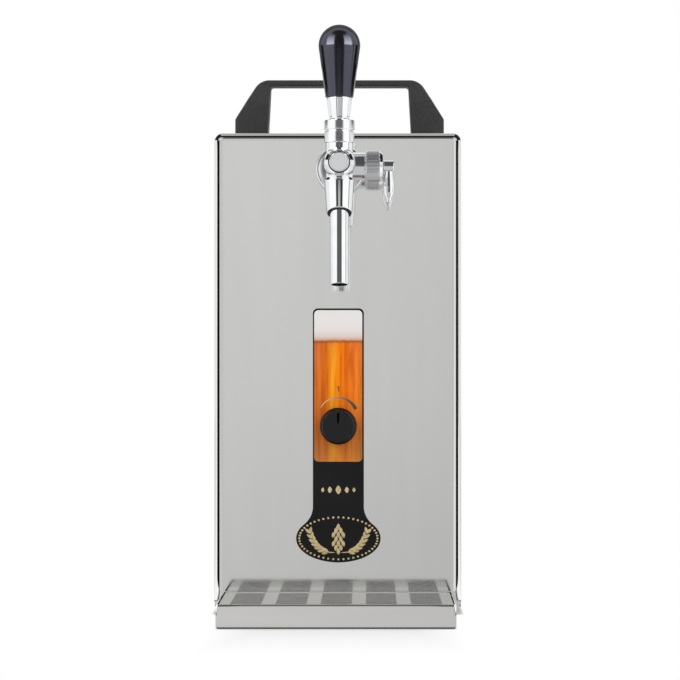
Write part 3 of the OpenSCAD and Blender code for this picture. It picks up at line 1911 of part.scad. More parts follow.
front_panel();
outer_cover();
rear_panel();
base_plate();
rubber_feet();
housing_screws();
carry_handle();
handle_bolts();
label_plate();
thermostat_body();
thermostat_nut();
thermostat_shaft();
thermostat_knob();
thermostat_bulb();
tap_rosette();
tap_shank();
shank_nut();
coupling_nut();
tap_body();
front_plug();
collar_nut();
lever_pin();
lever_yoke();
handle_ferrule();
tap_grip();
valve_spindle();
valve_washer();
spindle_gland();
tap_seals();
spout();
compensator_nut();
compensator_spindle();
compensator_lever();
compensator_cone();
drip_tray();
drip_grille();
insulation_jacket();
insulation_lid();
cooling_block();
product_coil();
evaporator_coil();
outlet_line();
inlet_line();
compressor();
compressor_grommets();
compressor_bolts();
condenser_tubes();
condenser_fins();
fan_shroud();
fan_motor();
fan_rotor();
filter_drier();
refrigerant_lines();
terminal_box();
inlet_fitting();
inlet_collet();
cable_gland();
switch_frame();
switch_rocker();
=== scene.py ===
"""Looks of the draught beer dispenser: finishes, smooth turned pieces, printed label, studio and camera.

Metres, +Z up, the tap looks along -Y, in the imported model's own frame. Sizes are written in millimetres.
"""
import json

import bmesh
import bpy
import numpy as np
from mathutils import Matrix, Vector


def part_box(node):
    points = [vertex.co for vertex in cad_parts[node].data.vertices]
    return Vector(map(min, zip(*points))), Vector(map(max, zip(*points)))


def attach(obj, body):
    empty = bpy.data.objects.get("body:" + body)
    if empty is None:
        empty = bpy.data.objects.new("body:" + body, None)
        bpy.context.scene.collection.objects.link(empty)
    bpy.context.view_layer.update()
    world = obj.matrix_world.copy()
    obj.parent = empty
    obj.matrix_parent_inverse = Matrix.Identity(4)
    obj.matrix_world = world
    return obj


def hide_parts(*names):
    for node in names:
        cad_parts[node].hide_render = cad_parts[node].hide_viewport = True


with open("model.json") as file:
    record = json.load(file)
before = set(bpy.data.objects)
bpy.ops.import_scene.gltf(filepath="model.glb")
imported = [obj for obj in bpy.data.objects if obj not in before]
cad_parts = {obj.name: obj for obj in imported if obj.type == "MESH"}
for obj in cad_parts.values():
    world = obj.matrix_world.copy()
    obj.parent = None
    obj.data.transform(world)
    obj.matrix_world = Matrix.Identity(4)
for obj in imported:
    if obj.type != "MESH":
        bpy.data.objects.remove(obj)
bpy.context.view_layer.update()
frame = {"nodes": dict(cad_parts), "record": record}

MM = 0.001


def node_box(name):
    """A CAD node's lowest and highest corners, to a tenth of a millimetre."""
    return np.round(np.array(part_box(name)) / MM, 1)


def node_middle(name):
    """The middle of a CAD node's box, to a tenth of a millimetre, which levels out a round node's facets."""
    return np.round(np.array(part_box(name)).mean(0) / MM, 1)


# Places that the solids give: the housing, the tap's axes, the label with its knob, and the tray
panel_low, panel_high = node_box("front_panel")
PANEL_Y, BASE_Z, TOP_Z = panel_low[1], panel_low[2], panel_high[2]
BODY_W, BODY_H = panel_high[0] - panel_low[0], TOP_Z - BASE_Z
MID_Z = (BASE_Z + TOP_Z) / 2
REAR_Y = node_box("rear_panel")[1][1]
TAP_X, _, TAP_Z = node_middle("tap_rosette")
COLUMN_Y = node_middle("collar_nut")[1]
COMP_Y = node_middle("compensator_nut")[1]
LABEL_X, _, KNOB_Z = node_middle("thermostat_knob")
LABEL_Y, LABEL_TOP = node_box("label_plate")[[0, 1], [1, 2]]
TRAY_LOW, TRAY_HIGH = node_box("drip_tray")

# The panel's bend and flange, the label's oval, the foam's lower edge, and the thickness of a print
EDGE_R, FLANGE_D = 6.0, 16.0
OVAL_Z, OVAL_A, OVAL_B = 53.8, 29.8, 17.0
FOAM_Z = 194.0
PRINT_T = 0.03


# Shapes


def grid_quads(rows, columns, closed):
    """Quads between neighbouring rows and columns of a grid; closed joins the last column to the first."""
    i, j = np.meshgrid(np.arange(rows - 1), np.arange(columns - (not closed)), indexing="ij")
    k = (j + 1) % columns
    quads = np.stack([i * columns + j, i * columns + k, (i + 1) * columns + k, (i + 1) * columns + j], -1)
    return quads.reshape(-1, 4)


def rounded(corners, steps=6, support=0.12):
    """A polyline of (r, d, radius) corners, each turned into an arc that is tangent to both its sides.

    The arc's centre lies on the corner's bisector at radius / sin(half the corner's angle). An arc takes less
    than half of its shorter side. A support point just before and just after it keeps the straight runs flat
    under smooth shading.
    """
    corners = np.array(corners, float)
    path = [corners[:1, :2]]
    for before, here, after in zip(corners[:-2], corners[1:-1], corners[2:]):
        u, v = before[:2] - here[:2], after[:2] - here[:2]
        room = 0.49 * min(np.linalg.norm(u), np.linalg.norm(v))
        u, v = u / np.linalg.norm(u), v / np.linalg.norm(v)
        half = np.arccos(np.clip(u @ v, -1, 1)) / 2
        reach = min(here[2] / np.tan(half), room)
        radius = reach * np.tan(half)
        if radius < 1e-4:
            path.append(here[None, :2])
            continue
        middle = here[:2] + (u + v) / np.linalg.norm(u + v) * radius / np.sin(half)
        start = (here[:2] + u * reach - middle) / radius
        end = (here[:2] + v * reach - middle) / radius
        sweep = np.pi - 2 * half
        side = (end - start * np.cos(sweep)) / np.sin(sweep)
        turn = np.linspace(0, sweep, steps + 1)[:, None]
        arc = middle + radius * (start * np.cos(turn) + side * np.sin(turn))
        path += [arc[:1] + u * support * reach, arc, arc[-1:] + v * support * reach]
    path.append(corners[-1:, :2])
    return np.concatenate(path)


def film(grid, thick):
    """A closed sheet: a (rows, columns, 3) grid, the same grid moved back in y, and a wall between."""
    rows, columns = grid.shape[:2]
    index = np.arange(rows * columns).reshape(rows, columns)
    ring = np.concatenate([index[0], index[1:, -1], index[-1, -2::-1], index[-2:0:-1, 0]])
    onward = np.roll(ring, -1)
    front, count = grid_quads(rows, columns, False), rows * columns
    wall = np.stack([ring, onward, onward + count, ring + count], 1)
    points = np.concatenate([grid.reshape(-1, 3), grid.reshape(-1, 3) + [0, thick, 0]])
    return points, np.concatenate([front, front[:, ::-1] + count, wall])


# The two spokes of each axis, and the axis itself
AXES = {"x": np.eye(3)[[1, 2, 0]], "y": np.eye(3)[[2, 0, 1]], "z": np.eye(3)}


def turned(profile, axis, centre, turns=96, wave=0.0):
    """A profile of (r, d) rows carried round an axis: centre + (r + wave) (cos a e1 + sin a e2) + d e3.

    wave may be an array over rows and turns, such as the teeth of a knurl.
    """
    e1, e2, e3 = AXES[axis]
    angle = np.linspace(0, 2 * np.pi, turns, endpoint=False)
    r, d = np.array(profile, float).T
    spoke = np.cos(angle)[:, None] * e1 + np.sin(angle)[:, None] * e2
    radius = (r[:, None] + wave) * np.ones(turns)
    points = np.array(centre) + radius[..., None] * spoke + d[:, None, None] * e3
    return points.reshape(-1, 3), grid_quads(len(r), turns, True)


def dished(half_w, half_h, profile, place, steps=12):
    """A sheet dished with round corners, its first ring closed by a flat face, and its last too if rho is 0.

    Each (rho, depth) row of the profile is a ring at rho round four corner centres, joined by straight sides,
    and place turns its (a, b, depth) columns into points.
    """
    turn = np.linspace(0, np.pi / 2, steps + 1)
    angle = (np.arange(4)[:, None] * np.pi / 2 + turn).ravel()
    sign_a = np.repeat([1, -1, -1, 1], steps + 1)
    sign_b = np.repeat([1, 1, -1, -1], steps + 1)
    rho, depth = np.array(profile, float).T
    a = sign_a * half_w + rho[:, None] * np.cos(angle)
    b = sign_b * half_h + rho[:, None] * np.sin(angle)
    points = place(a, b, depth[:, None] * np.ones(len(angle)))
    columns = len(angle)
    caps = np.arange(4) * (steps + 1)
    quads = [grid_quads(len(rho), columns, True), caps[None]]
    if rho[-1] == 0:
        quads.append(caps[None, ::-1] + (len(rho) - 1) * columns)
    return points.reshape(-1, 3), np.concatenate(quads)


def add_piece(name, parts, material, body, replaced=(), sharp=40.0):
    """One object of (points, quads) parts in millimetres, finished as a piece."""
    starts = np.cumsum([0] + [len(points) for points, _ in parts[:-1]])
    mesh = bpy.data.meshes.new(name)
    points = np.concatenate([points for points, _ in parts]) * MM
    quads = np.concatenate([quads + start for (_, quads), start in zip(parts, starts)])
    mesh.from_pydata(points, [], quads)
    return finish_piece(name, mesh, material, body, replaced, sharp)


def finish_piece(name, mesh, material, body, replaced, sharp):
    """Joins a mesh's doubles, faces it outwards, shades it smooth below a sharp angle and lets it ride."""
    work = bmesh.new()
    work.from_mesh(mesh)
    bmesh.ops.remove_doubles(work, verts=work.verts, dist=1e-6)
    bmesh.ops.recalc_face_normals(work, faces=work.faces)
    work.to_mesh(mesh)
    work.free()
    mesh.polygons.foreach_set("use_smooth", np.ones(len(mesh.polygons), bool))
    mesh.set_sharp_from_angle(angle=np.radians(sharp))
    mesh.materials.clear()
    mesh.materials.append(material)
    piece = bpy.data.objects.new(name, mesh)
    bpy.context.scene.collection.objects.link(piece)
    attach(piece, body)
    if replaced:
        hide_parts(*replaced)
    return piece


def keep_flats(mesh):
    """Corner normals for bent sheet: a flat's own on faces square to an axis and where a bend meets one.

    The other corners keep the normals that smooth shading gave them.
    """
    count = len(mesh.loops)
    normals = np.empty(3 * count)
    mesh.corner_normals.foreach_get("vector", normals)
    normals = normals.reshape(-1, 3)
    corner = np.empty(count, int)
    mesh.loops.foreach_get("vertex_index", corner)
    facing = np.empty(3 * len(mesh.polygons))
    mesh.polygons.foreach_get("normal", facing)
    sizes = np.empty(len(mesh.polygons), int)
    mesh.polygons.foreach_get("loop_total", sizes)
    facing = np.repeat(facing.reshape(-1, 3), sizes, axis=0)
    for way in np.concatenate([np.eye(3), -np.eye(3)]):
        flat = facing @ way > 0.99995
        touched = np.zeros(len(mesh.vertices), bool)
        touched[corner[flat]] = True
        normals[touched[corner] & (facing @ way > 0.8)] = way
    mesh.normals_split_custom_set(normals)


# Finishes


def linear(code):
    """The linear colour, with full opacity, of an sRGB hex code such as #c8c7c3."""
    part = np.array([int(code[i : i + 2], 16) for i in (1, 3, 5)]) / 255
    part = np.where(part <= 0.04045, part / 12.92, ((part + 0.055) / 1.055) ** 2.4)
    return (*part, 1.0)


def feed(tree, node, sockets):
    """Sets a node's inputs to plain values, to outputs, or to the first open output of other nodes."""
    for key, value in sockets.items():
        if isinstance(value, bpy.types.Node):
            value = next(out for out in value.outputs if out.enabled)
        if isinstance(value, bpy.types.NodeSocket):
            tree.links.new(value, node.inputs[key])
        else:
            node.inputs[key].default_value = value


def add_node(tree, kind, sockets=None, **settings):
    """Adds a shader node of a kind: settings are its own properties, sockets what its inputs are fed with."""
    made = tree.nodes.new("ShaderNode" + kind)
    for key, value in settings.items():
        setattr(made, key, value)
    feed(tree, made, sockets or {})
    return made


def set_ramp(made, stops):
    """Fills a colour ramp node with (place, hex code) stops."""
    ramp = made.color_ramp
    while len(ramp.elements) < len(stops):
        ramp.elements.new(1.0)
    for element, (place, code) in zip(ramp.elements, stops):
        element.position, element.color = place, linear(code)
    return made


def object_axes(tree):
    """A tree's Object coordinates, as the outputs X, Y and Z."""
    place = add_node(tree, "TexCoord").outputs["Object"]
    return add_node(tree, "SeparateXYZ", {"Vector": place}).outputs


def per_size(sizes):
    """Texture scales that make a pattern's unit as large as sizes in millimetres along x, y and z."""
    return tuple(1 / (MM * size) for size in sizes)


def new_finish(name, **sockets):
    """A material with one Principled shader whose plain sockets are set, with its tree and its shader."""
    material = bpy.data.materials.new(name)
    material.use_nodes = True
    tree = material.node_tree
    shader = tree.nodes["Principled BSDF"]
    for key, value in sockets.items():
        shader.inputs[key.replace("_", " ").title().replace("Ior", "IOR")].default_value = value
    return material, tree, shader


def grained(name, dark, light, rough, size, bump=0.0, detail=2.0, **sockets):
    """A finish whose colour, roughness and bump vary with noise of a size in millimetres along x, y and z.

    Most of the noise lies between its low and its high, where the colour and the roughness reach their ends.
    """
    low, high = 0.3, 0.7
    material, tree, shader = new_finish(name, **sockets)
    place = add_node(tree, "TexCoord").outputs["Object"]
    scaled = add_node(tree, "Mapping", {"Vector": place, "Scale": per_size(size)})
    noise = add_node(tree, "TexNoise", {"Vector": scaled, "Scale": 1.0, "Detail": detail})
    colour = set_ramp(add_node(tree, "ValToRGB", {"Fac": noise}), [(low, dark), (high, light)])
    spread = add_node(
        tree, "MapRange",
        {"Value": noise, "From Min": low, "From Max": high, "To Min": rough[0], "To Max": rough[1]},
    )
    feed(tree, shader, {"Base Color": colour, "Roughness": spread})
    if bump:
        relief = add_node(tree, "Bump", {"Height": noise, "Strength": 1.0, "Distance": bump * MM})
        feed(tree, shader, {"Normal": relief})
    return material


def paint_darkening(material, value, start, end, low, high):
    """Paints a finish darker: multiplies its colour by a share from low to high, as a value goes from start
    to end in mm.
    """
    tree = material.node_tree
    shader = tree.nodes["Principled BSDF"]
    share = add_node(
        tree, "MapRange",
        {"Value": value, "From Min": start * MM, "From Max": end * MM, "To Min": low, "To Max": high},
    )
    plain = shader.inputs["Base Color"].links[0].from_socket
    mixed = add_node(
        tree, "Mix", {"Factor": 1.0, "A": plain, "B": share}, data_type="RGBA", blend_type="MULTIPLY"
    )
    feed(tree, shader, {"Base Color": mixed})


def paint_top_bend_dark(material):
    """Paints the panel's top bend at half its colour, a painted dark reflection line along the bend."""
    height = object_axes(material.node_tree)["Z"]
    paint_darkening(material, height, TOP_Z - 2.6, TOP_Z - 1.6, 1.0, 0.5)


def paint_bore_shade(material):
    """Paints shade into what lies nearer to the tap's column than the spout's wall, 5.5 to 5.9 mm from the
    axis.
    """
    tree = material.node_tree
    place = add_node(tree, "TexCoord").outputs["Object"]
    axis = (-TAP_X * MM, -COLUMN_Y * MM, 0.0)
    from_axis = add_node(tree, "Mapping", {"Vector": place, "Location": axis, "Scale": (1.0, 1.0, 0.0)})
    radius = add_node(tree, "VectorMath", {0: from_axis}, operation="LENGTH")
    paint_darkening(material, radius, 5.5, 5.9, 0.04, 1.0)


# Bright annealed stainless sheet: rolled to a mirror, a little greyer than chrome, with faint streaks
bright_stainless = grained(
    "bright_annealed_stainless", "#eaeae8", "#ededeb", (0.06, 0.078), (14, 14, 160), metallic=1.0
)
# Painted dark reflection line on the panel's top bend
paint_top_bend_dark(bright_stainless)
# The tray's sheet is the same steel, handled more, so its mirror is softer
tray_stainless = grained(
    "tray_stainless", "#f1f0ed", "#f6f5f3", (0.045, 0.075), (120, 9, 9), metallic=1.0
)
# Satin stainless: ground along the sheet, so highlights spread. The grain is drawn at 0.6 mm to show
satin_stainless = grained(
    "satin_stainless", "#b4b3af", "#cac9c5", (0.24, 0.38), (0.6, 40, 0.6), bump=0.006, metallic=1.0
)
# Pressed and slotted stainless of the grille: bright, dulled by washing
grille_stainless = grained(
    "grille_stainless", "#c2c1bd", "#d8d7d3", (0.12, 0.22), (14, 14, 14), metallic=1.0
)
# Chrome plate on polished brass: a clear, slightly blue mirror with the soft waves of hand polishing
chrome_plate = grained(
    "chrome_plate", "#eceef0", "#f6f7f8", (0.02, 0.045), (11, 11, 11), bump=0.004, metallic=1.0
)
# Satin chrome of the two large nuts: the same plate on a blasted ground, so that it blurs what it mirrors
satin_chrome = grained(
    "satin_chrome_plate", "#f2f3f6", "#fafafc", (0.17, 0.22), (6, 6, 6), metallic=1.0
)
# Chrome plate of the spout, whose bore is painted near black as shade
spout_chrome_painted_bore = grained(
    "chrome_plate_painted_bore_shade", "#eceef0", "#f6f7f8", (0.02, 0.045), (11, 11, 11), bump=0.004, metallic=1.0
)
# Painted shade inside the spout's bore
paint_bore_shade(spout_chrome_painted_bore)
# Zinc plate on steel screws: pale grey, half matt
zinc_steel = grained(
    "zinc_plated_steel", "#a9adb2", "#c0c4c8", (0.25, 0.4), (1.5, 1.5, 1.5), metallic=1.0
)
# Drawn stainless tube: fine draw lines, half bright
tube_steel = grained(
    "drawn_stainless_tube", "#b9b8b4", "#cfcecb", (0.18, 0.3), (2, 2, 25), metallic=1.0
)
# Turned brass: warm yellow with lathe rings
turned_brass = grained("turned_brass", "#a98c4e", "#c4a860", (0.2, 0.32), (3, 0.5, 3), metallic=1.0)
# Moulded phenolic of the grip: deep black under a buffed gloss
black_phenolic = grained(
    "black_phenolic", "#0b0b0e", "#121217", (0.11, 0.15), (18, 18, 18), ior=1.85,
    specular_tint=linear("#e4e8ff"),
)
# Glass filled nylon of the carry handle: charcoal with a fine eroded grain, drawn at 0.9 mm to show
black_nylon = grained(
    "moulded_black_nylon", "#323233", "#404041", (0.48, 0.62), (0.9, 0.9, 0.9), bump=0.03, detail=4.0
)
# Moulded ABS of the knob, the gland and the switch: black, low sheen
black_abs = grained(
    "moulded_black_abs", "#131314", "#1a1a1b", (0.3, 0.42), (1.2, 1.2, 1.2), bump=0.01,
    specular_ior_level=0.3,
)
# Red ABS of the rocker: glossy
red_abs = grained("moulded_red_abs", "#a81c14", "#b8261c", (0.2, 0.28), (6, 6, 6))
# Vulcanised rubber of feet, seals and grommets: dull black with a dusty bloom
black_rubber = grained(
    "vulcanised_rubber", "#1b1b1b", "#2a2a29", (0.7, 0.85), (1.6, 1.6, 1.6), bump=0.02
)
# Acetal of fittings and cases: ivory white, soft sheen
white_acetal = grained("moulded_white_acetal", "#d6d3c8", "#e4e2d9", (0.32, 0.42), (8, 8, 8))
# Blue acetal of the release collet
blue_acetal = grained("moulded_blue_acetal", "#33507f", "#3f5f92", (0.3, 0.4), (4, 4, 4))
# Bead foam of the jacket: off-white beads a few millimetres wide
bead_foam = grained("bead_foam", "#cfcabb", "#e6e2d5", (0.8, 0.9), (3.5, 3.5, 3.5), bump=0.3)
# Cast and rolled aluminium: pale, sandy
cast_aluminium = grained(
    "cast_aluminium", "#a2a5a8", "#bdc0c3", (0.35, 0.5), (1.2, 1.2, 1.2), bump=0.03, metallic=1.0
)
# Drawn copper tube with darker tarnish
copper_tube = grained("drawn_copper_tube", "#9a5a38", "#c27a50", (0.22, 0.4), (14, 14, 14), metallic=1.0)
# Black enamel of the compressor's can: thick glossy paint with a slight orange peel
black_enamel = grained("black_enamel", "#111213", "#1a1b1c", (0.18, 0.26), (2.5, 2.5, 2.5), bump=0.02)
# Grey glass filled nylon of the fan: matt, with a fine grain
grey_nylon = grained("moulded_grey_nylon", "#28292b", "#343537", (0.45, 0.6), (1.5, 1.5, 1.5), bump=0.02)
# Gloss acrylic of the label plate: black behind a clear face
black_acrylic = grained(
    "black_acrylic", "#0c0c0c", "#121212", (0.07, 0.12), (25, 25, 25), specular_ior_level=0.22
)
# Dark brown ink of the dial's figure: matt, slightly uneven
ink_print = grained("brown_ink", "#4a2410", "#5c3016", (0.4, 0.5), (1.0, 1.0, 1.0))
# Gold foil of the label's ornament: pale, slightly worn
gold_foil = grained("gold_foil", "#c8b07c", "#e6d2a4", (0.3, 0.45), (2.5, 2.5, 2.5), metallic=0.35)

SLOT_FINISH = {
    "polished_steel": bright_stainless,
    "satin_steel": satin_stainless,
    "zinc_steel": zinc_steel,
    "beer_tube_steel": tube_steel,
    "tap_chrome": chrome_plate,
    "turned_brass": turned_brass,
    "black_phenolic": black_phenolic,
    "black_nylon": black_nylon,
    "black_abs": black_abs,
    "red_rocker": red_abs,
    "label_print": black_acrylic,
    "black_rubber": black_rubber,
    "white_plastic": white_acetal,
    "blue_collet": blue_acetal,
    "foam_white": bead_foam,
    "cast_aluminium": cast_aluminium,
    "copper_tube": copper_tube,
    "black_enamel": black_enamel,
    "grey_plastic": grey_nylon,
}
NODE_FINISH = {
    "drip_tray": tray_stainless,
    "drip_grille": grille_stainless,
    "coupling_nut": satin_chrome,
    "collar_nut": satin_chrome,
    "spout": spout_chrome_painted_bore,
}
SLOTS = {part["node"]: part["material_slot"] for part in frame["record"]["subparts"]}
BODIES = {node: body for body, nodes in frame["record"]["behaviour"]["bodies"].items() for node in nodes}


def finish_of(node_name):
    """The finish of a CAD node: its own, or else that of its slot."""
    return NODE_FINISH.get(node_name, SLOT_FINISH[SLOTS[node_name]])


for node_name, cad in frame["nodes"].items():
    cad.data.materials.clear()
    cad.data.materials.append(finish_of(node_name))


def dress(node_name, parts, sharp=40.0, flats=False):
    """A piece of numpy surfaces that stands for one CAD node, on its body and with its finish."""
    piece = add_piece(
        node_name + "_dressed", parts, finish_of(node_name), BODIES[node_name],
        (node_name,), sharp,
    )
    if flats:
        keep_flats(piece.data)


def smooth_copy(node_name, edge):
    """The CAD node's own mesh, joined and shaded smooth, with its edges rounded if a width is given."""
    mesh = frame["nodes"][node_name].data.copy()
    piece = finish_piece(
        node_name + "_dressed", mesh, finish_of(node_name), BODIES[node_name],
        (node_name,), 30.0,
    )
    if not edge:
        keep_flats(mesh)
        return
    bevel = piece.modifiers.new("round_edges", "BEVEL")
    bevel.width, bevel.segments = edge * MM, 2
    bevel.limit_method, bevel.angle_limit = "ANGLE", np.radians(35)
    bevel.harden_normals = True


# Housing


def make_front_panel():
    """The front panel: a flat mirror face whose edges bend back on a quarter circle into the side flange."""
    wall = 1.0
    inner_r = EDGE_R - wall
    bend = np.linspace(0, np.pi / 2, 17)
    back = np.linspace(np.pi / 2, 0, 9)[1:]
    rho = np.concatenate([EDGE_R * np.sin(bend), [EDGE_R, inner_r, inner_r], inner_r * np.sin(back)])
    depth = np.concatenate([
        EDGE_R * (1 - np.cos(bend)), [FLANGE_D, FLANGE_D, EDGE_R], EDGE_R - inner_r * np.cos(back)
    ])
    part = dished(
        BODY_W / 2 - EDGE_R, BODY_H / 2 - EDGE_R, np.stack([rho, depth], 1),
        lambda a, b, d: np.stack([a, PANEL_Y + d, MID_Z + b], -1),
    )
    dress("front_panel", [part], 50.0, True)


def run_length(path):
    """The length of a polyline from its start to each of its points."""
    return np.concatenate([[0], np.cumsum(np.linalg.norm(np.diff(path, axis=0), axis=1))])


def arch(path, keys):
    """Points of a half outline at even stations, whose run is read between keys, and their mirror image."""
    run = run_length(path)
    stations = np.linspace(0, 1, 97)
    at = np.interp(stations, np.linspace(0, 1, len(keys) + 1), [*keys, run[-1]])
    half = np.stack([np.interp(at, run, path[:, 0]), np.interp(at, run, path[:, 1])], 1)
    return np.concatenate([half, half[-2::-1] * [-1, 1]])


def make_carry_handle():
    """The handle: a rounded section carried along an arch, between an outer outline and an inner one.

    At each station the section spans from the inner outline to the outer one and, front to back, twice a half
    depth that shrinks from the legs to the bar; its corners are quarter circles. A point closes each foot.
    """
    half = node_box("carry_handle")[1][0]
    height, leg, bar, edge = 50.4, 24.0, 4.5, 1.4
    outer = rounded([(-half, 0, 0), (-half, 20.5, 2), (-59.8, height, 12.3), (0, height, 0)], steps=10)
    inner = rounded([(-half + leg, 0, 0), (-51.9, height - bar, 2.0), (0, height - bar, 0)], steps=8)
    out_path = arch(outer, [0, 20, 50, 62])
    in_path = arch(inner, [0, 20, 42, 49])
    turn = np.linspace(0, np.pi / 2, 6)
    corner_s = np.concatenate([np.sin(turn), np.cos(turn), -np.sin(turn), -np.cos(turn)])
    corner_y = np.concatenate([np.cos(turn), -np.sin(turn), -np.cos(turn), np.sin(turn)])
    sign_s = np.repeat([1, 1, -1, -1], 6)
    sign_y = np.repeat([1, -1, -1, 1], 6)
    middle, reach = (out_path + in_path) / 2, (out_path - in_path) / 2
    length = np.linalg.norm(reach, axis=1)[:, None]
    across = sign_s * (length - edge) + edge * corner_s
    depth = np.interp(middle[:, 1:], [0, 34, 46], [14.0, 14.0, 10.0])
    rings = np.stack(
        [
            middle[:, :1] + reach[:, :1] / length * across,
            node_middle("carry_handle")[1] + sign_y * (depth - edge) + edge * corner_y,
            TOP_Z + middle[:, 1:] + reach[:, 1:] / length * across,
        ],
        -1,
    )
    feet = [np.repeat(rings[[end]].mean(1, keepdims=True), rings.shape[1], 1) for end in (0, -1)]
    grid = np.concatenate([feet[0], rings, feet[1]])
    dress("carry_handle", [(grid.reshape(-1, 3), grid_quads(len(grid), grid.shape[1], True))], 50.0)


# Label and thermostat


def label_half_width(z):
    """Half the label's width at height z: a strip with round top corners, an oval foot and hollow fillets.

    A fillet's centre lies one radius outside the strip, at the height where it is also one radius from the
    oval.
    """
    strip, corner, flare = 18.0, 3.5, 16.0
    drop = np.clip(z - (LABEL_TOP - corner), 0, corner)
    straight = strip - corner + np.sqrt(np.maximum(corner**2 - drop**2, 0))
    straight = np.where(z > OVAL_Z, straight, 0)
    oval = OVAL_A * np.sqrt(np.clip(1 - ((z - OVAL_Z) / OVAL_B) ** 2, 0, 1))
    turn = np.linspace(0, np.pi / 2, 1001)
    heights = np.linspace(OVAL_Z, OVAL_Z + 60, 1201)
    away = np.hypot(
        strip + flare - OVAL_A * np.cos(turn), heights[:, None] - OVAL_Z - OVAL_B * np.sin(turn)
    )
    pick = np.argmin(np.abs(away.min(1) - flare))
    flare_z = heights[pick]
    touch_z = OVAL_Z + OVAL_B * np.sin(turn[away[pick].argmin()])
    hollow = strip + flare - np.sqrt(np.maximum(flare**2 - (z - flare_z) ** 2, 0))
    inside = (z > touch_z) & (z < flare_z)
    return np.where(inside, hollow, np.maximum(straight, oval))


def make_label_plate():
    """The label: z-by-z rows from the knob's hole to the outline, left and right, with a bevelled clear edge.

    Row z spans from the hole's half width to the outline's; the rim drops back to the panel, the back returns
    to the hole, the hole has its wall, and a last row on the panel closes the straight top edge.
    """
    hole, bevel, low = 8.2, 0.55, OVAL_Z - OVAL_B
    ease = (1 - np.cos(np.linspace(0, np.pi, 181))) / 2
    rows = np.concatenate([
        low + (KNOB_Z - hole - low) * ease,
        KNOB_Z - hole * np.cos(np.linspace(0, np.pi, 25)),
        KNOB_Z + hole + (LABEL_TOP - KNOB_Z - hole) * ease,
    ])
    rows = np.unique(rows.round(5))
    width = label_half_width(rows)[:, None]
    gap = np.sqrt(np.maximum(hole**2 - (rows - KNOB_Z) ** 2, 0))[:, None]
    face = gap + (np.maximum(width - bevel, gap) - gap) * np.linspace(0, 1, 5)
    x = np.concatenate([face, width, width, gap], 1)
    y = np.concatenate([np.full(face.shape[1], LABEL_Y), [LABEL_Y + bevel, PANEL_Y, PANEL_Y]])
    columns = x.shape[1]
    open_rows = np.flatnonzero((gap[:-1] > 0) | (gap[1:] > 0)) * columns
    wall = np.stack([
        open_rows, open_rows + columns - 1, open_rows + 2 * columns - 1, open_rows + columns
    ], 1)
    faces = np.concatenate([grid_quads(len(rows) + 1, columns, False), wall])
    parts = []
    for side in (-1, 1):
        points = np.stack([LABEL_X + side * x, y + 0 * x, rows[:, None] + 0 * x], -1)
        points = np.concatenate([points, points[-1:] * [1, 0, 1] + [0, PANEL_Y, 0]])
        parts.append((points.reshape(-1, 3), faces))
    dress("label_plate", parts, 30.0)


def beer_colour(tree):
    """Printed beer: amber with soft upright streaks, yellower at the foot and browner under the foam."""
    low, half_w, sway = 108.0, 17.2, 0.14
    streak_size, fine_size = (6.667, 1000, 45.45), (3.03, 1000, 38.46)
    place = add_node(tree, "TexCoord").outputs["Object"]
    at = object_axes(tree)
    streak_place = add_node(tree, "Mapping", {"Vector": place, "Scale": per_size(streak_size)})
    streak = add_node(tree, "TexNoise", {"Vector": streak_place, "Scale": 1.0, "Detail": 2.0})
    left, right = (LABEL_X - half_w) * MM, (LABEL_X + half_w) * MM
    side = add_node(tree, "MapRange", {"Value": at["X"], "From Min": left, "From Max": right})
    wander = add_node(tree, "Math", {0: streak, 1: sway, 2: side}, operation="MULTIPLY_ADD")
    wander = add_node(tree, "Math", {0: wander, 1: sway / 2}, operation="SUBTRACT")
    amber = set_ramp(
        add_node(tree, "ValToRGB", {"Fac": wander}),
        [
            (0.0, "#d87c40"), (0.1, "#e08040"), (0.22, "#e0721e"), (0.31, "#f08c1e"), (0.385, "#ffb234"),
            (0.47, "#ff9c14"), (0.6, "#fa8408"), (0.68, "#e4741a"), (0.76, "#fc8e34"), (0.88, "#fa9038"),
            (1.0, "#d67a30"),
        ],
    )
    fine_place = add_node(tree, "Mapping", {"Vector": place, "Scale": per_size(fine_size)})
    fine = add_node(tree, "TexNoise", {"Vector": fine_place, "Scale": 1.0, "Detail": 3.0})
    grain = set_ramp(
        add_node(tree, "ValToRGB", {"Fac": fine}), [(0.32, "#d8c0b4"), (0.5, "#f6f2ee"), (0.62, "#ffffff")]
    )
    height = add_node(
        tree, "MapRange", {"Value": at["Z"], "From Min": low * MM, "From Max": FOAM_Z * MM}
    )
    tint = set_ramp(
        add_node(tree, "ValToRGB", {"Fac": height}),
        [
            (0.0, "#d6d0c0"), (0.3, "#d8cca8"), (0.6, "#f6e8a0"), (0.85, "#f4e8cc"), (0.97, "#f0e0d0"),
            (1.0, "#b08a70"),
        ],
    )
    beer = amber
    for shade in (grain, tint):
        beer = add_node(
            tree, "Mix", {"Factor": 1.0, "A": beer, "B": shade}, data_type="RGBA", blend_type="MULTIPLY"
        )
    warm = add_node(
        tree, "MapRange",
        {"Value": height, "From Min": 0.0, "From Max": 0.35, "To Min": 0.2, "To Max": 0.0},
    )
    return add_node(tree, "Mix", {"Factor": warm, "A": beer, "B": linear("#dcac60")}, data_type="RGBA")


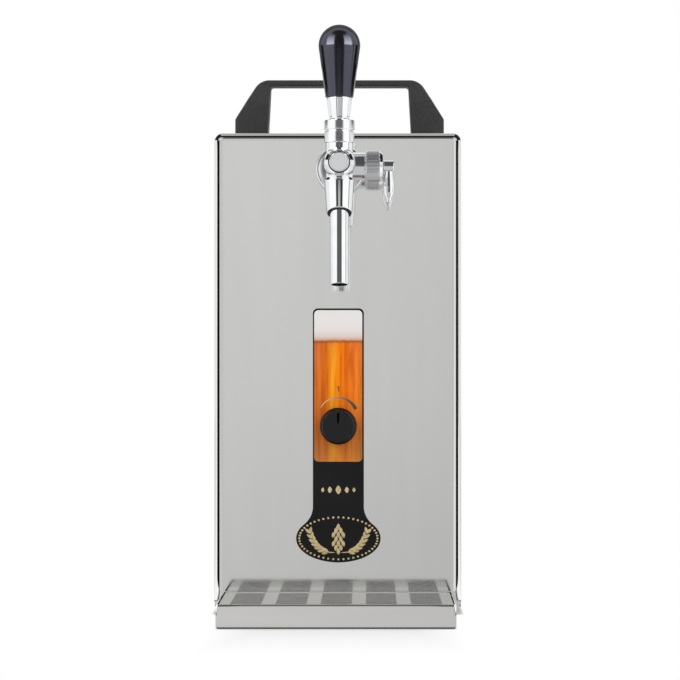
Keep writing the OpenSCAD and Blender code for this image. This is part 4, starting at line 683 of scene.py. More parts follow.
def beer_print():
    """Print under gloss varnish: beer with small bubbles, a brown shore, and foam above a rippled line."""
    material, tree, shader = new_finish("beer_print", roughness=0.12, specular_ior_level=0.12)
    bubble, ripple, ripple_rise = 1.923, 3.846, 1.2
    line_low, line_high, shore_low, foam_top = FOAM_Z - 0.6, FOAM_Z + 0.6, FOAM_Z - 2.5, 215.5
    place = add_node(tree, "TexCoord").outputs["Object"]
    height = object_axes(tree)["Z"]
    bubbles = add_node(tree, "TexVoronoi", {"Vector": place, "Scale": 1 / (bubble * MM), "Randomness": 1.0})
    speck = add_node(
        tree, "MapRange",
        {"Value": bubbles, "From Min": 0.08, "From Max": 0.2, "To Min": 0.12, "To Max": 0.0},
    )
    waves = add_node(tree, "TexNoise", {"Vector": place, "Scale": 1 / (ripple * MM), "Detail": 3.0})
    line = add_node(tree, "Math", {0: waves, 1: ripple_rise * MM, 2: height}, operation="MULTIPLY_ADD")
    shore = add_node(
        tree, "MapRange",
        {"Value": line, "From Min": shore_low * MM, "From Max": line_low * MM, "To Min": 0.0, "To Max": 0.55},
    )
    foam_share = add_node(
        tree, "MapRange", {"Value": line, "From Min": line_low * MM, "From Max": line_high * MM}
    )
    foam_rise = add_node(
        tree, "MapRange", {"Value": height, "From Min": FOAM_Z * MM, "From Max": foam_top * MM}
    )
    foam = set_ramp(
        add_node(tree, "ValToRGB", {"Fac": foam_rise}),
        [(0.0, "#cca690"), (0.1, "#d6c6be"), (0.3, "#ded8d4"), (0.7, "#e0dcda"), (1.0, "#dcdad8")],
    )
    colour = beer_colour(tree)
    for share, over in ((speck, linear("#ffd890")), (shore, linear("#8a4a1c")), (foam_share, foam)):
        colour = add_node(tree, "Mix", {"Factor": share, "A": colour, "B": over}, data_type="RGBA")
    feed(tree, shader, {"Base Color": colour})
    return material


def make_beer_window():
    """The printed window: a flat round-cornered patch just proud of the plate, with rows of z.

    Each row spans the width that the corners leave.
    """
    half_w, half_h, corner, columns = 16.95, 53.4, 3.0, 24
    middle_x, middle_z, lift = LABEL_X - 0.1, 161.3, 0.04
    z = half_h * -np.cos(np.linspace(0, np.pi, 60))
    inset = np.clip(np.abs(z) - (half_h - corner), 0, corner)
    width = half_w - corner + np.sqrt(corner**2 - inset**2)
    x = width[:, None] * np.linspace(-1, 1, columns)
    points = np.stack([middle_x + x, np.full_like(x, LABEL_Y - lift), middle_z + z[:, None] + 0 * x], -1)
    add_piece("beer_window", [film(points, PRINT_T)], beer_print(), "housing")


def make_dial_scale():
    """The dial's scale: an arc round the knob that widens from a hair at the left to a bar at the right."""
    material, tree, shader = new_finish("scale_print", roughness=0.3)
    fade = add_node(
        tree, "MapRange", {"Value": object_axes(tree)["X"], "From Min": -13 * MM, "From Max": 14 * MM}
    )
    tone = set_ramp(
        add_node(tree, "ValToRGB", {"Fac": fade}),
        [(0.0, "#e6c49a"), (0.45, "#a58462"), (0.75, "#6b533c"), (1.0, "#43301f")],
    )
    feed(tree, shader, {"Base Color": tone})
    middle_x, middle_z, middle_r, lift = LABEL_X - 0.4, KNOB_Z + 6.3, 13.8, 0.08
    start, sweep, hair, growth = -60, 126, 0.45, 2.1
    share = np.linspace(0, 1, 65)[:, None]
    angle = np.radians(start + sweep * share)
    width = hair + growth * share**1.4
    radius = middle_r + np.linspace(-0.5, 0.5, 4) * width
    x = middle_x + radius * np.sin(angle)
    z = middle_z + radius * np.cos(angle)
    points = np.stack([x, np.full_like(x, LABEL_Y - lift), z], -1)
    add_piece("dial_scale", [film(points, PRINT_T)], material, "housing")


def leaf(centre, angle, length, width):
    """A small embossed leaf on the label; centre is its place aside of the label's middle, and its height.

    Its half width is w sin(pi t) ** 0.8 along its length t, and it is domed by 1 - s * s across. Its flat
    back shares the outline, so that the leaf is closed.
    """
    rows, columns, rise, lift = 13, 7, 0.15, 0.03
    t = np.linspace(0, 1, rows)[:, None]
    s = np.linspace(-1, 1, columns)
    half = width / 2 * np.sin(np.pi * t) ** 0.8
    run, across = (t - 0.5) * length * np.ones(columns), half * s
    x = LABEL_X + centre[0] + run * np.cos(angle) - across * np.sin(angle)
    z = centre[1] + run * np.sin(angle) + across * np.cos(angle)
    front_and_back = np.array([1, 0])[:, None, None]
    y = LABEL_Y - lift - rise * np.sin(np.pi * t) * (1 - s**2) * front_and_back
    points = np.stack([x + 0 * y, y, z + 0 * y], -1)
    front = grid_quads(rows, columns, False)
    return points.reshape(-1, 3), np.concatenate([front, front[:, ::-1] + rows * columns])


# The foot, the bend and the tip of a barley ear's curve, from the oval's middle
EAR = np.array([(3.5, -10.0), (16.0, -10.0), (20.5, 5.5)])


def ear_spot(t):
    """The point of an ear's curve at share t: p0 (1-t)^2 + 2 p1 t (1-t) + p2 t^2."""
    return EAR[0] * (1 - t) ** 2 + 2 * EAR[1] * t * (1 - t) + EAR[2] * t**2


def ear_of_grain(side):
    """A barley ear, right or left: grains in pairs turned out from its curve's tangent, and a short stalk."""
    spread, out = 0.5, 2.1
    parts = []
    for t in np.linspace(0.16, 0.94, 7):
        run = (EAR[1] - EAR[0]) * (1 - t) + (EAR[2] - EAR[1]) * t
        for turn in (-spread, spread):
            heading = np.arctan2(run[1], run[0]) + turn
            middle = ear_spot(t) + out * np.array([np.cos(heading), np.sin(heading)])
            flip = heading if side > 0 else np.pi - heading
            parts.append(leaf((side * middle[0], OVAL_Z + middle[1]), flip, 5.2, 2.1))
    for t in np.linspace(0.02, 0.16, 3):
        spot = ear_spot(t)
        parts.append(leaf((side * spot[0], OVAL_Z + spot[1]), 0.0, 4.0, 0.7))
    return parts


def make_ornament():
    """A plain gold ornament: two barley ears round a hop cone, a beaded rim, and a row of lozenges above."""
    parts = ear_of_grain(-1) + ear_of_grain(1)
    cone_rows, cone_pitch = ((1, 8.2), (2, 5.6), (3, 2.6), (2, -0.6), (3, -3.6), (2, -6.6), (1, -9.2)), 3.4
    for count, z in cone_rows:
        for x in (np.arange(count) - (count - 1) / 2) * cone_pitch:
            parts.append(leaf((x, OVAL_Z + z), np.pi / 2 + 0.09 * x, 4.6, 2.5))
    beads, rim = 48, 2.2
    for turn in np.linspace(0, 2 * np.pi, beads, endpoint=False):
        spot = ((OVAL_A - rim) * np.cos(turn), OVAL_Z + (OVAL_B - rim) * np.sin(turn))
        parts.append(leaf(spot, turn, 1.7, 1.5))
    lozenge_z = 88.0
    for x, size in ((-11.0, 3.4), (-6.0, 4.6), (0, 6.2), (6.0, 4.6), (11.0, 3.4)):
        parts.append(leaf((x, lozenge_z), np.pi / 2, size, size * 0.62))
    add_piece("label_ornament", parts, gold_foil, "housing")


def make_numeral():
    """The dial's only figure, a plain one: an upright bar with a short flag at its top left."""
    foot_z, high, y = 157.2, 3.8, LABEL_Y - 0.08
    bar = [[(-0.05, y, 0), (0.6, y, 0)], [(-0.05, y, high), (0.6, y, high)]]
    flag = [
        [(-1.0, y, high - 1.25), (-0.06, y, high - 0.6)], [(-1.0, y, high - 0.65), (-0.06, y, high)]
    ]
    parts = [film(np.array(stroke) + [LABEL_X, 0, foot_z], PRINT_T) for stroke in (bar, flag)]
    add_piece("dial_numeral", parts, ink_print, "housing")


def make_knob():
    """The knob: a turned cap with a skirt, its side cut by 40 fine flutes, and a raised pointer."""
    cap_r, skirt_r, bore_r, cap_d, gap = 11.3, 13.0, 8.7, 14.5, 0.3
    turns, flutes, flute_d = 160, 40, 0.2
    profile = rounded([
        (0, -cap_d, 0), (cap_r, -cap_d, 0.8), (cap_r, -2.6, 0.2), (skirt_r, -1.2, 0.3), (skirt_r, 0, 0.2),
        (bore_r, 0, 0.2), (bore_r, -3.0, 0.2), (0, -3.0, 0),
    ])
    angle = np.linspace(0, 2 * np.pi, turns, endpoint=False)
    on_side = ((profile[:, 0] > cap_r - 0.4) & (profile[:, 0] < cap_r + 0.1))[:, None]
    wave = -flute_d * on_side * (0.5 + 0.5 * np.cos(flutes * angle))
    cap = turned(profile, "y", (LABEL_X, LABEL_Y - gap, KNOB_Z), turns, wave)
    across = np.array([-0.7, -0.7, -0.4, 0.4, 0.7, 0.7])
    rise = np.array([0.3, -0.15, -0.3, -0.3, -0.15, 0.3])
    run = np.array([2.0, 2.3, 9.7, 10.0])[:, None]
    lift = np.array([0.3, 0.0, 0.0, 0.3])[:, None]
    x = LABEL_X + across + 0 * run
    y = LABEL_Y - gap - cap_d + np.maximum(rise, lift)
    z = KNOB_Z + run + 0 * across
    dress("thermostat_knob", [cap, film(np.stack([x, y, z], -1), 0.4)])


# Tap


def tap_part(profile, axis, y=COLUMN_Y, turns=96, wave=0.0):
    """A profile turned about one of the tap's axes: the flow axis y, or x or z through the flow axis at a y.

    Distances along the flow are measured from the panel, and the others from the flow axis.
    """
    origin = (TAP_X, PANEL_Y if axis == "y" else y, TAP_Z)
    return turned(profile, axis, origin, turns, wave)


def cut_aslant(part, start_z, slope, hinge_y):
    """Shears a part's lower end: z falls by a slope times the distance in y from a hinge.

    The shear starts at start_z and is blended in below it.
    """
    blend = 3.0
    points, faces = part
    low = np.clip((start_z - points[:, 2]) / blend, 0, 1)
    points[:, 2] -= slope * low * (points[:, 1] - hinge_y)
    return points, faces


def make_shank_nuts():
    """The wall rosette, and the coupling nut with its domed front, on the tap's shank."""
    shank_r, rosette_r, rosette_d, nut_r, rim_r, neck_r = 10.42, 15.0, 3.0, 17.0, 15.2, 8.02
    dress("tap_rosette", [tap_part(rounded([
        (shank_r, 0, 0), (rosette_r, 0, 0), (rosette_r, -rosette_d, 2), (shank_r, -rosette_d, 0.2),
        (shank_r, 0, 0),
    ]), "y")])
    nut = rounded([
        (shank_r, -3.3, 0), (nut_r, -3.3, 0.5), (nut_r, -18.8, 1.6), (rim_r, -19.15, 0)
    ], steps=8)
    dome = np.stack([np.linspace(rim_r, neck_r, 13), -20.3 + 1.15 * np.linspace(1, 0, 13) ** 2], 1)
    inside = [(neck_r, -17), (shank_r, -17), (shank_r, -3.3)]
    dress("coupling_nut", [tap_part(np.concatenate([nut[:-1], dome, inside]), "y")])


def make_collar_nut():
    """The collar nut on the column's top: two rings with a groove between, over the lever's hole."""
    dress("collar_nut", [tap_part(rounded([
        (8.25, 13.9, 0), (10.25, 13.9, 0.5), (10.25, 21.4, 0.5), (9.6, 21.4, 0.2), (9.6, 22.8, 0.2),
        (10.5, 22.8, 0.8), (10.5, 29.1, 0.8), (9.4, 29.1, 0.3), (9.4, 22.4, 0), (3.52, 22.4, 0.1),
        (3.52, 21.2, 0.1), (8.25, 21.2, 0), (8.25, 13.9, 0),
    ]), "z")])


def make_tap_body():
    """The tap's body: neck, ball, column and compensator boss, and the seal in the column's aslant socket.

    The ball's skin is r cos a against its middle + r sin a, drawn out ahead to the front plug's seat.
    """
    neck_r, bore_r, ball_r, ball_d, ahead, seat_r = 9.75, 5.8, 11.2, -74.5, 16.0, 7.6
    neck = tap_part(rounded([
        (bore_r, -17.0, 0), (8.0, -17.0, 0), (8.0, -21.9, 0.6), (neck_r, -21.9, 0.8), (neck_r, -76, 0),
        (bore_r, -76, 0), (bore_r, -17, 0),
    ]), "y")
    swell = np.linspace(np.pi / 2, -np.arccos(seat_r / ball_r), 49)
    reach = np.where(swell > 0, ball_r, ahead)
    skin = np.stack([ball_r * np.cos(swell), ball_d + reach * np.sin(swell)], 1)
    seat = [(7.5, skin[-1, 1]), (7.5, -84.8), (6.75, -84.8), (6.75, -80.0), (0, -80.0)]
    ball = tap_part(np.concatenate([skin, seat]), "y")
    column = tap_part(rounded([
        (6.42, -16, 0), (6.42, -30.2, 0.3), (8.7, -30.2, 0.5), (10.1, -11.6, 0.6), (9.3, -9.8, 0.3),
        (9.3, 13.9, 0.3), (8.2, 13.9, 0), (8.2, 21, 0), (6.4, 21, 0), (6.4, -16, 0),
    ]), "z")
    boss = tap_part(rounded([
        (3.05, 5.9, 0), (9.6, 5.9, 0), (9.6, 17.6, 0.6), (7.4, 17.6, 0), (7.4, 25, 0.3), (5.82, 25, 0),
        (5.82, 22, 0), (3.05, 22, 0), (3.05, 5.9, 0),
    ]), "x", COMP_Y)
    seal = tap_part(rounded([
        (6.5, -28.0, 0), (8.2, -28.0, 0), (8.2, -30.8, 0.3), (6.5, -30.8, 0.3), (6.5, -28.0, 0)
    ]), "z")
    socket_z, socket_slope, socket_front = TAP_Z - 26.0, 0.4, COLUMN_Y - 8.7
    column = cut_aslant(column, socket_z, socket_slope, socket_front)
    dress("tap_body", [neck, ball, column, boss])
    seal = cut_aslant(seal, socket_z, socket_slope, socket_front)
    add_piece("socket_seal", [seal], black_rubber, "housing")


def make_front_plug():
    """The plug that closes the ball's front, and the seal round it."""
    dress("front_plug", [tap_part(rounded([
        (0, -88.5, 0), (6.7, -88.5, 0.6), (6.7, -85.5, 0), (6.4, -85.5, 0), (6.4, -80.5, 0.3), (0, -80.5, 0)
    ]), "y")])
    seal = tap_part(rounded([
        (6.75, -85.0, 0), (6.75, -86.8, 0.1), (7.45, -86.8, 0.1), (7.45, -85.0, 0), (6.75, -85.0, 0)
    ]), "y")
    add_piece("plug_seal", [seal], black_rubber, "housing")


def make_spout():
    """The spout: a thin pipe whose mouth is cut aslant."""
    spout_r, bore_r, top, mouth = 6.4, 5.3, -16.0, -83.3
    spout = tap_part(rounded([
        (bore_r, top, 0), (spout_r, top, 0.2), (spout_r, mouth, 0.35), (bore_r, mouth, 0.35), (bore_r, top, 0)
    ]), "z")
    dress("spout", [cut_aslant(spout, TAP_Z - 79.0, 0.16, COLUMN_Y + spout_r)])


def make_grip():
    """The lever's ferrule and its grip, a cone that runs into a ball at its tangent, with a hole below."""
    hole_r, ferrule_r, ferrule_z, foot_r, foot_z, ball_r, ball_z = 4.02, 8.9, 31.5, 9.5, 44.6, 14.15, 79.85
    dress("handle_ferrule", [tap_part(rounded([
        (hole_r, ferrule_z, 0), (6.948, ferrule_z, 0), (ferrule_r, foot_z, 0.4), (hole_r, foot_z, 0),
        (hole_r, ferrule_z, 0),
    ]), "z")])
    reach = np.hypot(foot_r, ball_z - foot_z)
    lean = np.arcsin(ball_r / reach) - np.arctan2(foot_r, ball_z - foot_z)
    dome = np.linspace(-lean, np.pi / 2, 33)
    top = np.stack([ball_r * np.cos(dome), ball_z + ball_r * np.sin(dome)], 1)
    side = np.stack([np.linspace(foot_r, top[0, 0], 12), np.linspace(foot_z, top[0, 1], 12)], 1)
    foot = rounded([(hole_r, foot_z, 0), (foot_r, foot_z, 0.5), (*side[2], 0)])
    hole_end = [[hole_r, 60]]
    profile = np.concatenate([foot[:-1], side[2:-1], top, hole_end, foot[:1]])
    dress("tap_grip", [tap_part(profile, "z")])


def make_compensator():
    """The compensator: a nut whose side is cut by a fine straight knurl, a hub, and a drop-shaped lever.

    The lever's radius along its length is read between a few stations, smoothed, from its root through a full
    belly to a thin round tip.
    """
    nut_r, stub_r, bore_r = 10.85, 7.42, 3.3
    profile = rounded([
        (stub_r, 17.8, 0), (nut_r, 17.8, 0.4), (nut_r, 27.6, 0.3), (8.85, 29.6, 0.5), (bore_r, 29.6, 0.2),
        (bore_r, 25.3, 0), (stub_r, 25.3, 0), (stub_r, 17.8, 0),
    ], support=0.5)
    turns, teeth, tooth_d = 504, 72, 0.18
    straight = np.linspace(18.6, 27.2, 12)
    split = 1 + np.argmax(np.diff(profile[:, 1]) * (profile[:-1, 0] > nut_r - 0.01))
    rows = np.insert(profile, split, np.stack([np.full(12, nut_r), straight], 1), axis=0)
    on_side = (rows[:, 0] > nut_r - 0.01) & (rows[:, 1] > 18.5) & (rows[:, 1] < 27.3)
    angle = np.linspace(0, 2 * np.pi, turns, endpoint=False)
    knurl = -tooth_d * on_side[:, None] * (0.5 + 0.5 * np.cos(teeth * angle))
    dress("compensator_nut", [tap_part(rows, "x", COMP_Y, turns, knurl)], 60.0)
    hub = tap_part(rounded([
        (0, 35.0, 0), (3.02, 35.0, 0), (3.02, 30.1, 0), (4.3, 30.1, 0.5), (4.3, 37.3, 0.7), (0, 37.3, 0)
    ]), "x", COMP_Y, 64)
    root, length, middle_x = -2.0, 21.8, TAP_X + 33.7
    drop = np.linspace(0, 1, 57)
    z = root - length * drop
    stations = [0, 0.15, 0.35, 0.6, 0.8, 0.89, 0.94, 1]
    belly = np.interp(drop, stations, [2.5, 2.9, 3.5, 3.9, 3.7, 2.2, 1.6, 1.6])
    belly = np.convolve(np.pad(belly, 3, mode="edge"), np.ones(7) / 7, mode="valid")
    tip = np.linspace(0, np.pi / 2, 9)[1:]
    end = np.stack([belly[-1] * np.cos(tip), z[-1] - belly[-1] * np.sin(tip)], 1)
    outline = np.concatenate([[[0, z[0]]], np.stack([belly, z], 1), end])
    lever = turned(outline, "z", (middle_x, COMP_Y, TAP_Z), 48)
    dress("compensator_lever", [hub, lever])


# Drip tray


def make_drip_tray():
    """The tray: a dished sheet with round corners, a rim rounded over outwards and an inner skin."""
    r, wall, roll = 2.0, 1.0, 1.6
    inner_r = r - wall
    middle = (TRAY_LOW + TRAY_HIGH) / 2
    half_w, half_d, height = TRAY_HIGH[0], (TRAY_HIGH - TRAY_LOW)[1] / 2, TRAY_HIGH[2]
    bend = np.linspace(0, np.pi / 2, 9)
    back = bend[::-1]
    rho = np.concatenate([
        r * np.sin(bend), inner_r + wall * np.cos(bend), [inner_r], inner_r * np.sin(back)
    ])
    depth = np.concatenate([
        r - r * np.cos(bend), height - roll + roll * np.sin(bend), [height - 2], r - inner_r * np.cos(back)
    ])
    part = dished(
        half_w - r, half_d - r, np.stack([rho, depth], 1),
        lambda a, b, d: np.stack([a, middle[1] + b, d], -1),
    )
    dress("drip_tray", [part], 50.0, True)


# Screws


def make_screws():
    """Pan-head screws: a flat dome over the head's radius, with a cross sunk where |a| or |b| is small.

    A skirt closes each head on the housing's side or on the rear panel.
    """
    radius, rise, arm_l, arm_w, sink = 3.6, 1.8, 2.0, 0.75, 0.9
    turns, rows = 48, 15
    share = np.linspace(0, 1, rows)[:, None]
    angle = np.linspace(0, 2 * np.pi, turns, endpoint=False)
    a, b = radius * share * np.cos(angle), radius * share * np.sin(angle)
    dome = rise * (1 - 0.55 * share**2.5) * np.ones(turns)
    arm = np.minimum(np.abs(a), np.abs(b)) + np.maximum(0, np.hypot(a, b) - arm_l) * 2
    sunk = dome - sink * np.clip((arm_w - arm) / 0.3, 0, 1)
    height = np.concatenate([sunk, np.zeros((2, turns))])
    a = np.concatenate([a, a[-1:], a[:1]])
    b = np.concatenate([b, b[-1:], b[:1]])
    quads = grid_quads(rows + 2, turns, True)
    side_places = [(55.0, 15.0), (135.0, 15.0), (230.0, 15.0), (264.5, 59.0), (264.5, 285.0)]
    rear_x, rear_heights = 67.5, (164.0, 275.0)
    parts = []
    for side in (-1, 1):
        for y, z in side_places:
            points = np.stack([side * (BODY_W / 2 + height), PANEL_Y + y + a, z + b], -1)
            parts.append((points.reshape(-1, 3), quads))
        for z in rear_heights:
            points = np.stack([side * rear_x + a, REAR_Y + height, z + b], -1)
            parts.append((points.reshape(-1, 3), quads))
    dress("housing_screws", parts, 50.0)


make_front_panel()
make_carry_handle()
make_label_plate()
make_beer_window()
make_dial_scale()
make_ornament()
make_numeral()
make_knob()
make_shank_nuts()
make_collar_nut()
make_tap_body()
make_front_plug()
make_spout()
make_grip()
make_compensator()
make_drip_tray()
make_screws()
EDGE_WIDTHS = {
    "outer_cover": 0.0, "rear_panel": 0.0, "lever_yoke": 0.15, "rubber_feet": 0.6, "inlet_fitting": 0.35,
    "inlet_collet": 0.3, "cable_gland": 0.35, "switch_frame": 0.4, "switch_rocker": 0.5,
}
for node_name, width in EDGE_WIDTHS.items():
    smooth_copy(node_name, width)


# Studio


def floor_paper(tree, paper, at, wide, ray):
    """What the camera sees of the floor: paper that keeps the shadow near the object and fades to white.

    The fade follows the larger of a distance beside the object and one before or behind it. Beside the object
    it is short, and past the object's ends it spreads softly to both sides.
    """
    middle_y, half_l = (TRAY_LOW[1] + REAR_Y) / 2, (REAR_Y - TRAY_LOW[1]) / 2 + 0.2
    tray_edge, body_edge = TRAY_HIGH[0] - 1.0, BODY_W / 2
    steep, spread_rate, spread_start, fade_near, fade_far = 80.0, 4.6, -0.23, 10.0, 160.0
    edge = add_node(
        tree, "MapRange",
        {
            "Value": at["Y"], "From Min": (PANEL_Y - 3.8) * MM, "From Max": (PANEL_Y + 0.2) * MM,
            "To Min": tray_edge * MM, "To Max": body_edge * MM,
        },
    )
    beside = add_node(tree, "Math", {0: wide, 1: edge}, operation="SUBTRACT")
    beside = add_node(tree, "Math", {0: beside, 1: steep}, operation="MULTIPLY")
    spread = add_node(tree, "Math", {0: wide, 1: spread_rate, 2: spread_start}, operation="MULTIPLY_ADD")
    deep = add_node(tree, "Math", {0: at["Y"], 1: middle_y * MM}, operation="SUBTRACT")
    deep = add_node(tree, "Math", {0: deep}, operation="ABSOLUTE")
    before = add_node(tree, "Math", {0: deep, 1: (half_l - 7.0) * MM}, operation="SUBTRACT")
    past = add_node(
        tree, "MapRange", {"Value": deep, "From Min": half_l * MM, "From Max": (half_l + 3.0) * MM}
    )
    beside = add_node(tree, "Mix", {"Factor": past, "A": beside, "B": spread}, data_type="FLOAT")
    away = add_node(tree, "Math", {0: beside, 1: before}, operation="MAXIMUM")
    fade = add_node(
        tree, "MapRange", {"Value": away, "From Min": fade_near * MM, "From Max": fade_far * MM}
    )
    share = add_node(tree, "Math", {0: fade, 1: ray["Is Camera Ray"]}, operation="MULTIPLY")
    white = add_node(tree, "Emission", {"Strength": 1.0})
    return add_node(tree, "MixShader", {0: share, 1: paper, 2: white})


def floor_table(tree, at, wide, ray):
    """What mirrors see of the floor: a grey table with a painted contact shadow where they touch it, and the
    studio beyond.

    slant is a spot's distance aside over its distance ahead of a point behind the object: a dark gap lies
    where it is middling, and white screens beyond. Behind the panel the table is plain and paler.
    """
    ahead = add_node(tree, "Math", {0: 0.25, 1: at["Y"]}, operation="SUBTRACT")
    ahead = add_node(tree, "Math", {0: ahead, 1: 0.05}, operation="MAXIMUM")
    slant = add_node(tree, "Math", {0: wide, 1: ahead}, operation="DIVIDE")
    near = set_ramp(
        add_node(tree, "ValToRGB", {"Fac": slant}),
        [(0.36, "#ffffff"), (0.39, "#707070"), (0.44, "#707070"), (0.48, "#ffffff")],
    )
    far = set_ramp(
        add_node(tree, "ValToRGB", {"Fac": slant}),
        [(0.09, "#ffffff"), (0.1, "#505050"), (0.42, "#505050"), (0.48, "#ffffff")],
    )
    distance = add_node(tree, "MapRange", {"Value": at["Y"], "From Min": -2.1, "From Max": -2.2})
    tone = add_node(tree, "Mix", {"Factor": distance, "A": near, "B": far}, data_type="RGBA")
    level = add_node(
        tree, "MapRange",
        {"Value": at["Y"], "From Min": -2.4, "From Max": -0.25, "To Min": 0.615, "To Max": 0.58},
    )
    side = add_node(
        tree, "MapRange",
        {"Value": at["X"], "From Min": -0.3, "From Max": 0.3, "To Min": 0.075, "To Max": -0.075},
    )
    level = add_node(tree, "Math", {0: level, 1: side}, operation="ADD")
    screen = add_node(tree, "MapRange", {"Value": slant, "From Min": 0.44, "From Max": 0.48})
    level = add_node(tree, "Mix", {"Factor": screen, "A": level, "B": 1.08}, data_type="FLOAT")
    # Painted contact shadow: the table darkens for short mirror rays close to the object
    contact_shadow = add_node(
        tree, "MapRange",
        {"Value": ray["Ray Length"], "From Min": 0.0005, "From Max": 0.004, "To Min": 0.15, "To Max": 1.0},
    )
    level = add_node(tree, "Math", {0: level, 1: contact_shadow}, operation="MULTIPLY")
    behind = add_node(tree, "MapRange", {"Value": at["Y"], "From Min": -0.05, "From Max": 0.1})
    level = add_node(tree, "Mix", {"Factor": behind, "A": level, "B": 0.8}, data_type="FLOAT")
    tone = add_node(tree, "Mix", {"Factor": behind, "A": tone, "B": linear("#ffffff")}, data_type="RGBA")
    return add_node(tree, "Emission", {"Strength": level, "Color": tone})


def make_floor():
    """A pale floor: paper for the camera, a table for mirrors, and clear from below, to hide nothing."""
    size = 4.0
    mesh = bpy.data.meshes.new("floor")
    corners = [(-size, -size, 0), (size, -size, 0), (size, size, 0), (-size, size, 0)]
    mesh.from_pydata(corners, [], [(0, 1, 2, 3)])
    material, tree, shader = new_finish(
        "pale_paper", roughness=0.9, specular_ior_level=0.0, base_color=linear("#ececec")
    )
    at = object_axes(tree)
    wide = add_node(tree, "Math", {0: at["X"]}, operation="ABSOLUTE")
    ray = add_node(tree, "LightPath").outputs
    paper = floor_paper(tree, shader, at, wide, ray)
    table = floor_table(tree, at, wide, ray)
    above = add_node(tree, "MixShader", {0: ray["Is Glossy Ray"], 1: paper, 2: table})
    below = add_node(tree, "NewGeometry").outputs["Backfacing"]
    both = add_node(tree, "MixShader", {0: below, 1: above, 2: add_node(tree, "BsdfTransparent")})
    feed(tree, tree.nodes["Material Output"], {"Surface": both})
    mesh.materials.append(material)
    floor = bpy.data.objects.new("floor", mesh)
    bpy.context.scene.collection.objects.link(floor)


def add_card(name, corners):
    """A flat studio card, seen only in mirrors; returns its empty node tree."""
    material = bpy.data.materials.new(name)
    material.use_nodes = True
    material.node_tree.nodes.clear()
    mesh = bpy.data.meshes.new(name)
    mesh.from_pydata(np.array(corners) * MM, [], [(0, 1, 2, 3)])
    mesh.materials.append(material)
    card = bpy.data.objects.new(name, mesh)
    for ray in ("camera", "diffuse", "transmission", "shadow", "volume_scatter"):
        setattr(card, "visible_" + ray, False)
    bpy.context.scene.collection.objects.link(card)
    return material.node_tree


def upright(x0, x1, y, z0, z1):
    """The corners of an upright card that faces along y."""
    return [(x0, y, z0), (x1, y, z0), (x1, y, z1), (x0, y, z1)]


def make_edge_cards():
    """Cards in a plane before the panel, outside its edges: light and black strips that draw its bends.

    Two more stand aslant beyond the top corners. Their backs face the panel; from the front they are clear,
    but for the top one, which is grey and darkens the grip's rims.
    """
    y = PANEL_Y - 25.0
    black, aslant, top_front = 0.004, 0.02, 0.3
    plain = {
        "light_left": (-104, -84.5, 14, 346, 0.66),
        "light_right": (84.5, 104, 14, 346, 0.85),
        "black_left": (-190, -104, 14, 344, black),
        "black_right": (104, 190, 14, 344, black),
        "light_top": (-84, 84, 337, 356, 0.64),
        "grey_top": (-84.5, 84.5, 356, 380, 0.12),
        "black_top": (-98, 98, 380, 560, black),
        "light_corner_left": (-126, -84.5, 346, 377, 0.75),
        "light_corner_right": (84.5, 126, 346, 377, 0.75),
        "black_corner_left": (-230, -126, 344, 560, black),
        "black_corner_right": (126, 230, 344, 560, black),
        "black_over_left": (-126, -98, 377, 560, black),
        "black_over_right": (98, 126, 377, 560, black),
    }
    cards = {name: (upright(x0, x1, y, z0, z1), level) for name, (x0, x1, z0, z1, level) in plain.items()}
    near, far, away, reach = PANEL_Y - 60.0, PANEL_Y + 60.0, 36.0, 25.0
    for side, name in ((-1, "aslant_left"), (1, "aslant_right")):
        x, z = side * (BODY_W / 2 + away), TOP_Z + away
        x0, z0, x1, z1 = x + side * reach, z - reach, x - side * reach, z + reach
        corners = [(x0, near, z0), (x0, far, z0), (x1, far, z1), (x1, near, z1)]
        cards[name] = (corners[::side], aslant)
    for name, (corners, level) in cards.items():
        tree = add_card(name, corners)
        glow = add_node(tree, "Emission", {"Strength": level})
        if name == "black_top":
            front = add_node(tree, "Emission", {"Strength": top_front})
        else:
            front = add_node(tree, "BsdfTransparent")
        back = add_node(tree, "NewGeometry").outputs["Backfacing"]
        mix = add_node(tree, "MixShader", {0: back, 1: front, 2: glow})
        add_node(tree, "OutputMaterial", {"Surface": mix})


def make_grip_cards():
    """Two windows, upper left and upper right of the grip, brightest at their sills, light its round end.

    Longer rays pass through them, so that no other piece mirrors them.
    """
    low, high, longest = TAP_Z + 82.0, TAP_Z + 164.0, 125.0
    for side, name in ((-1, "grip_window_left"), (1, "grip_window_right")):
        tree = add_card(name, [
            (TAP_X + side * 50, COLUMN_Y - 98, low), (TAP_X + side * 103.4, COLUMN_Y - 37.6, low),
            (TAP_X + side * 65.8, COLUMN_Y - 24, high), (TAP_X + side * 31.8, COLUMN_Y - 62.4, high),
        ])
        height = object_axes(tree)["Z"]
        level = add_node(
            tree, "MapRange",
            {"Value": height, "From Min": low * MM, "From Max": high * MM, "To Min": 7.0, "To Max": 0.5},
        )
        glow = add_node(tree, "Emission", {"Strength": level})
        length = add_node(tree, "LightPath").outputs["Ray Length"]
        far = add_node(tree, "Math", {0: length, 1: longest * MM}, operation="GREATER_THAN")
        mix = add_node(tree, "MixShader", {0: far, 1: glow, 2: add_node(tree, "BsdfTransparent")})
        add_node(tree, "OutputMaterial", {"Surface": mix})


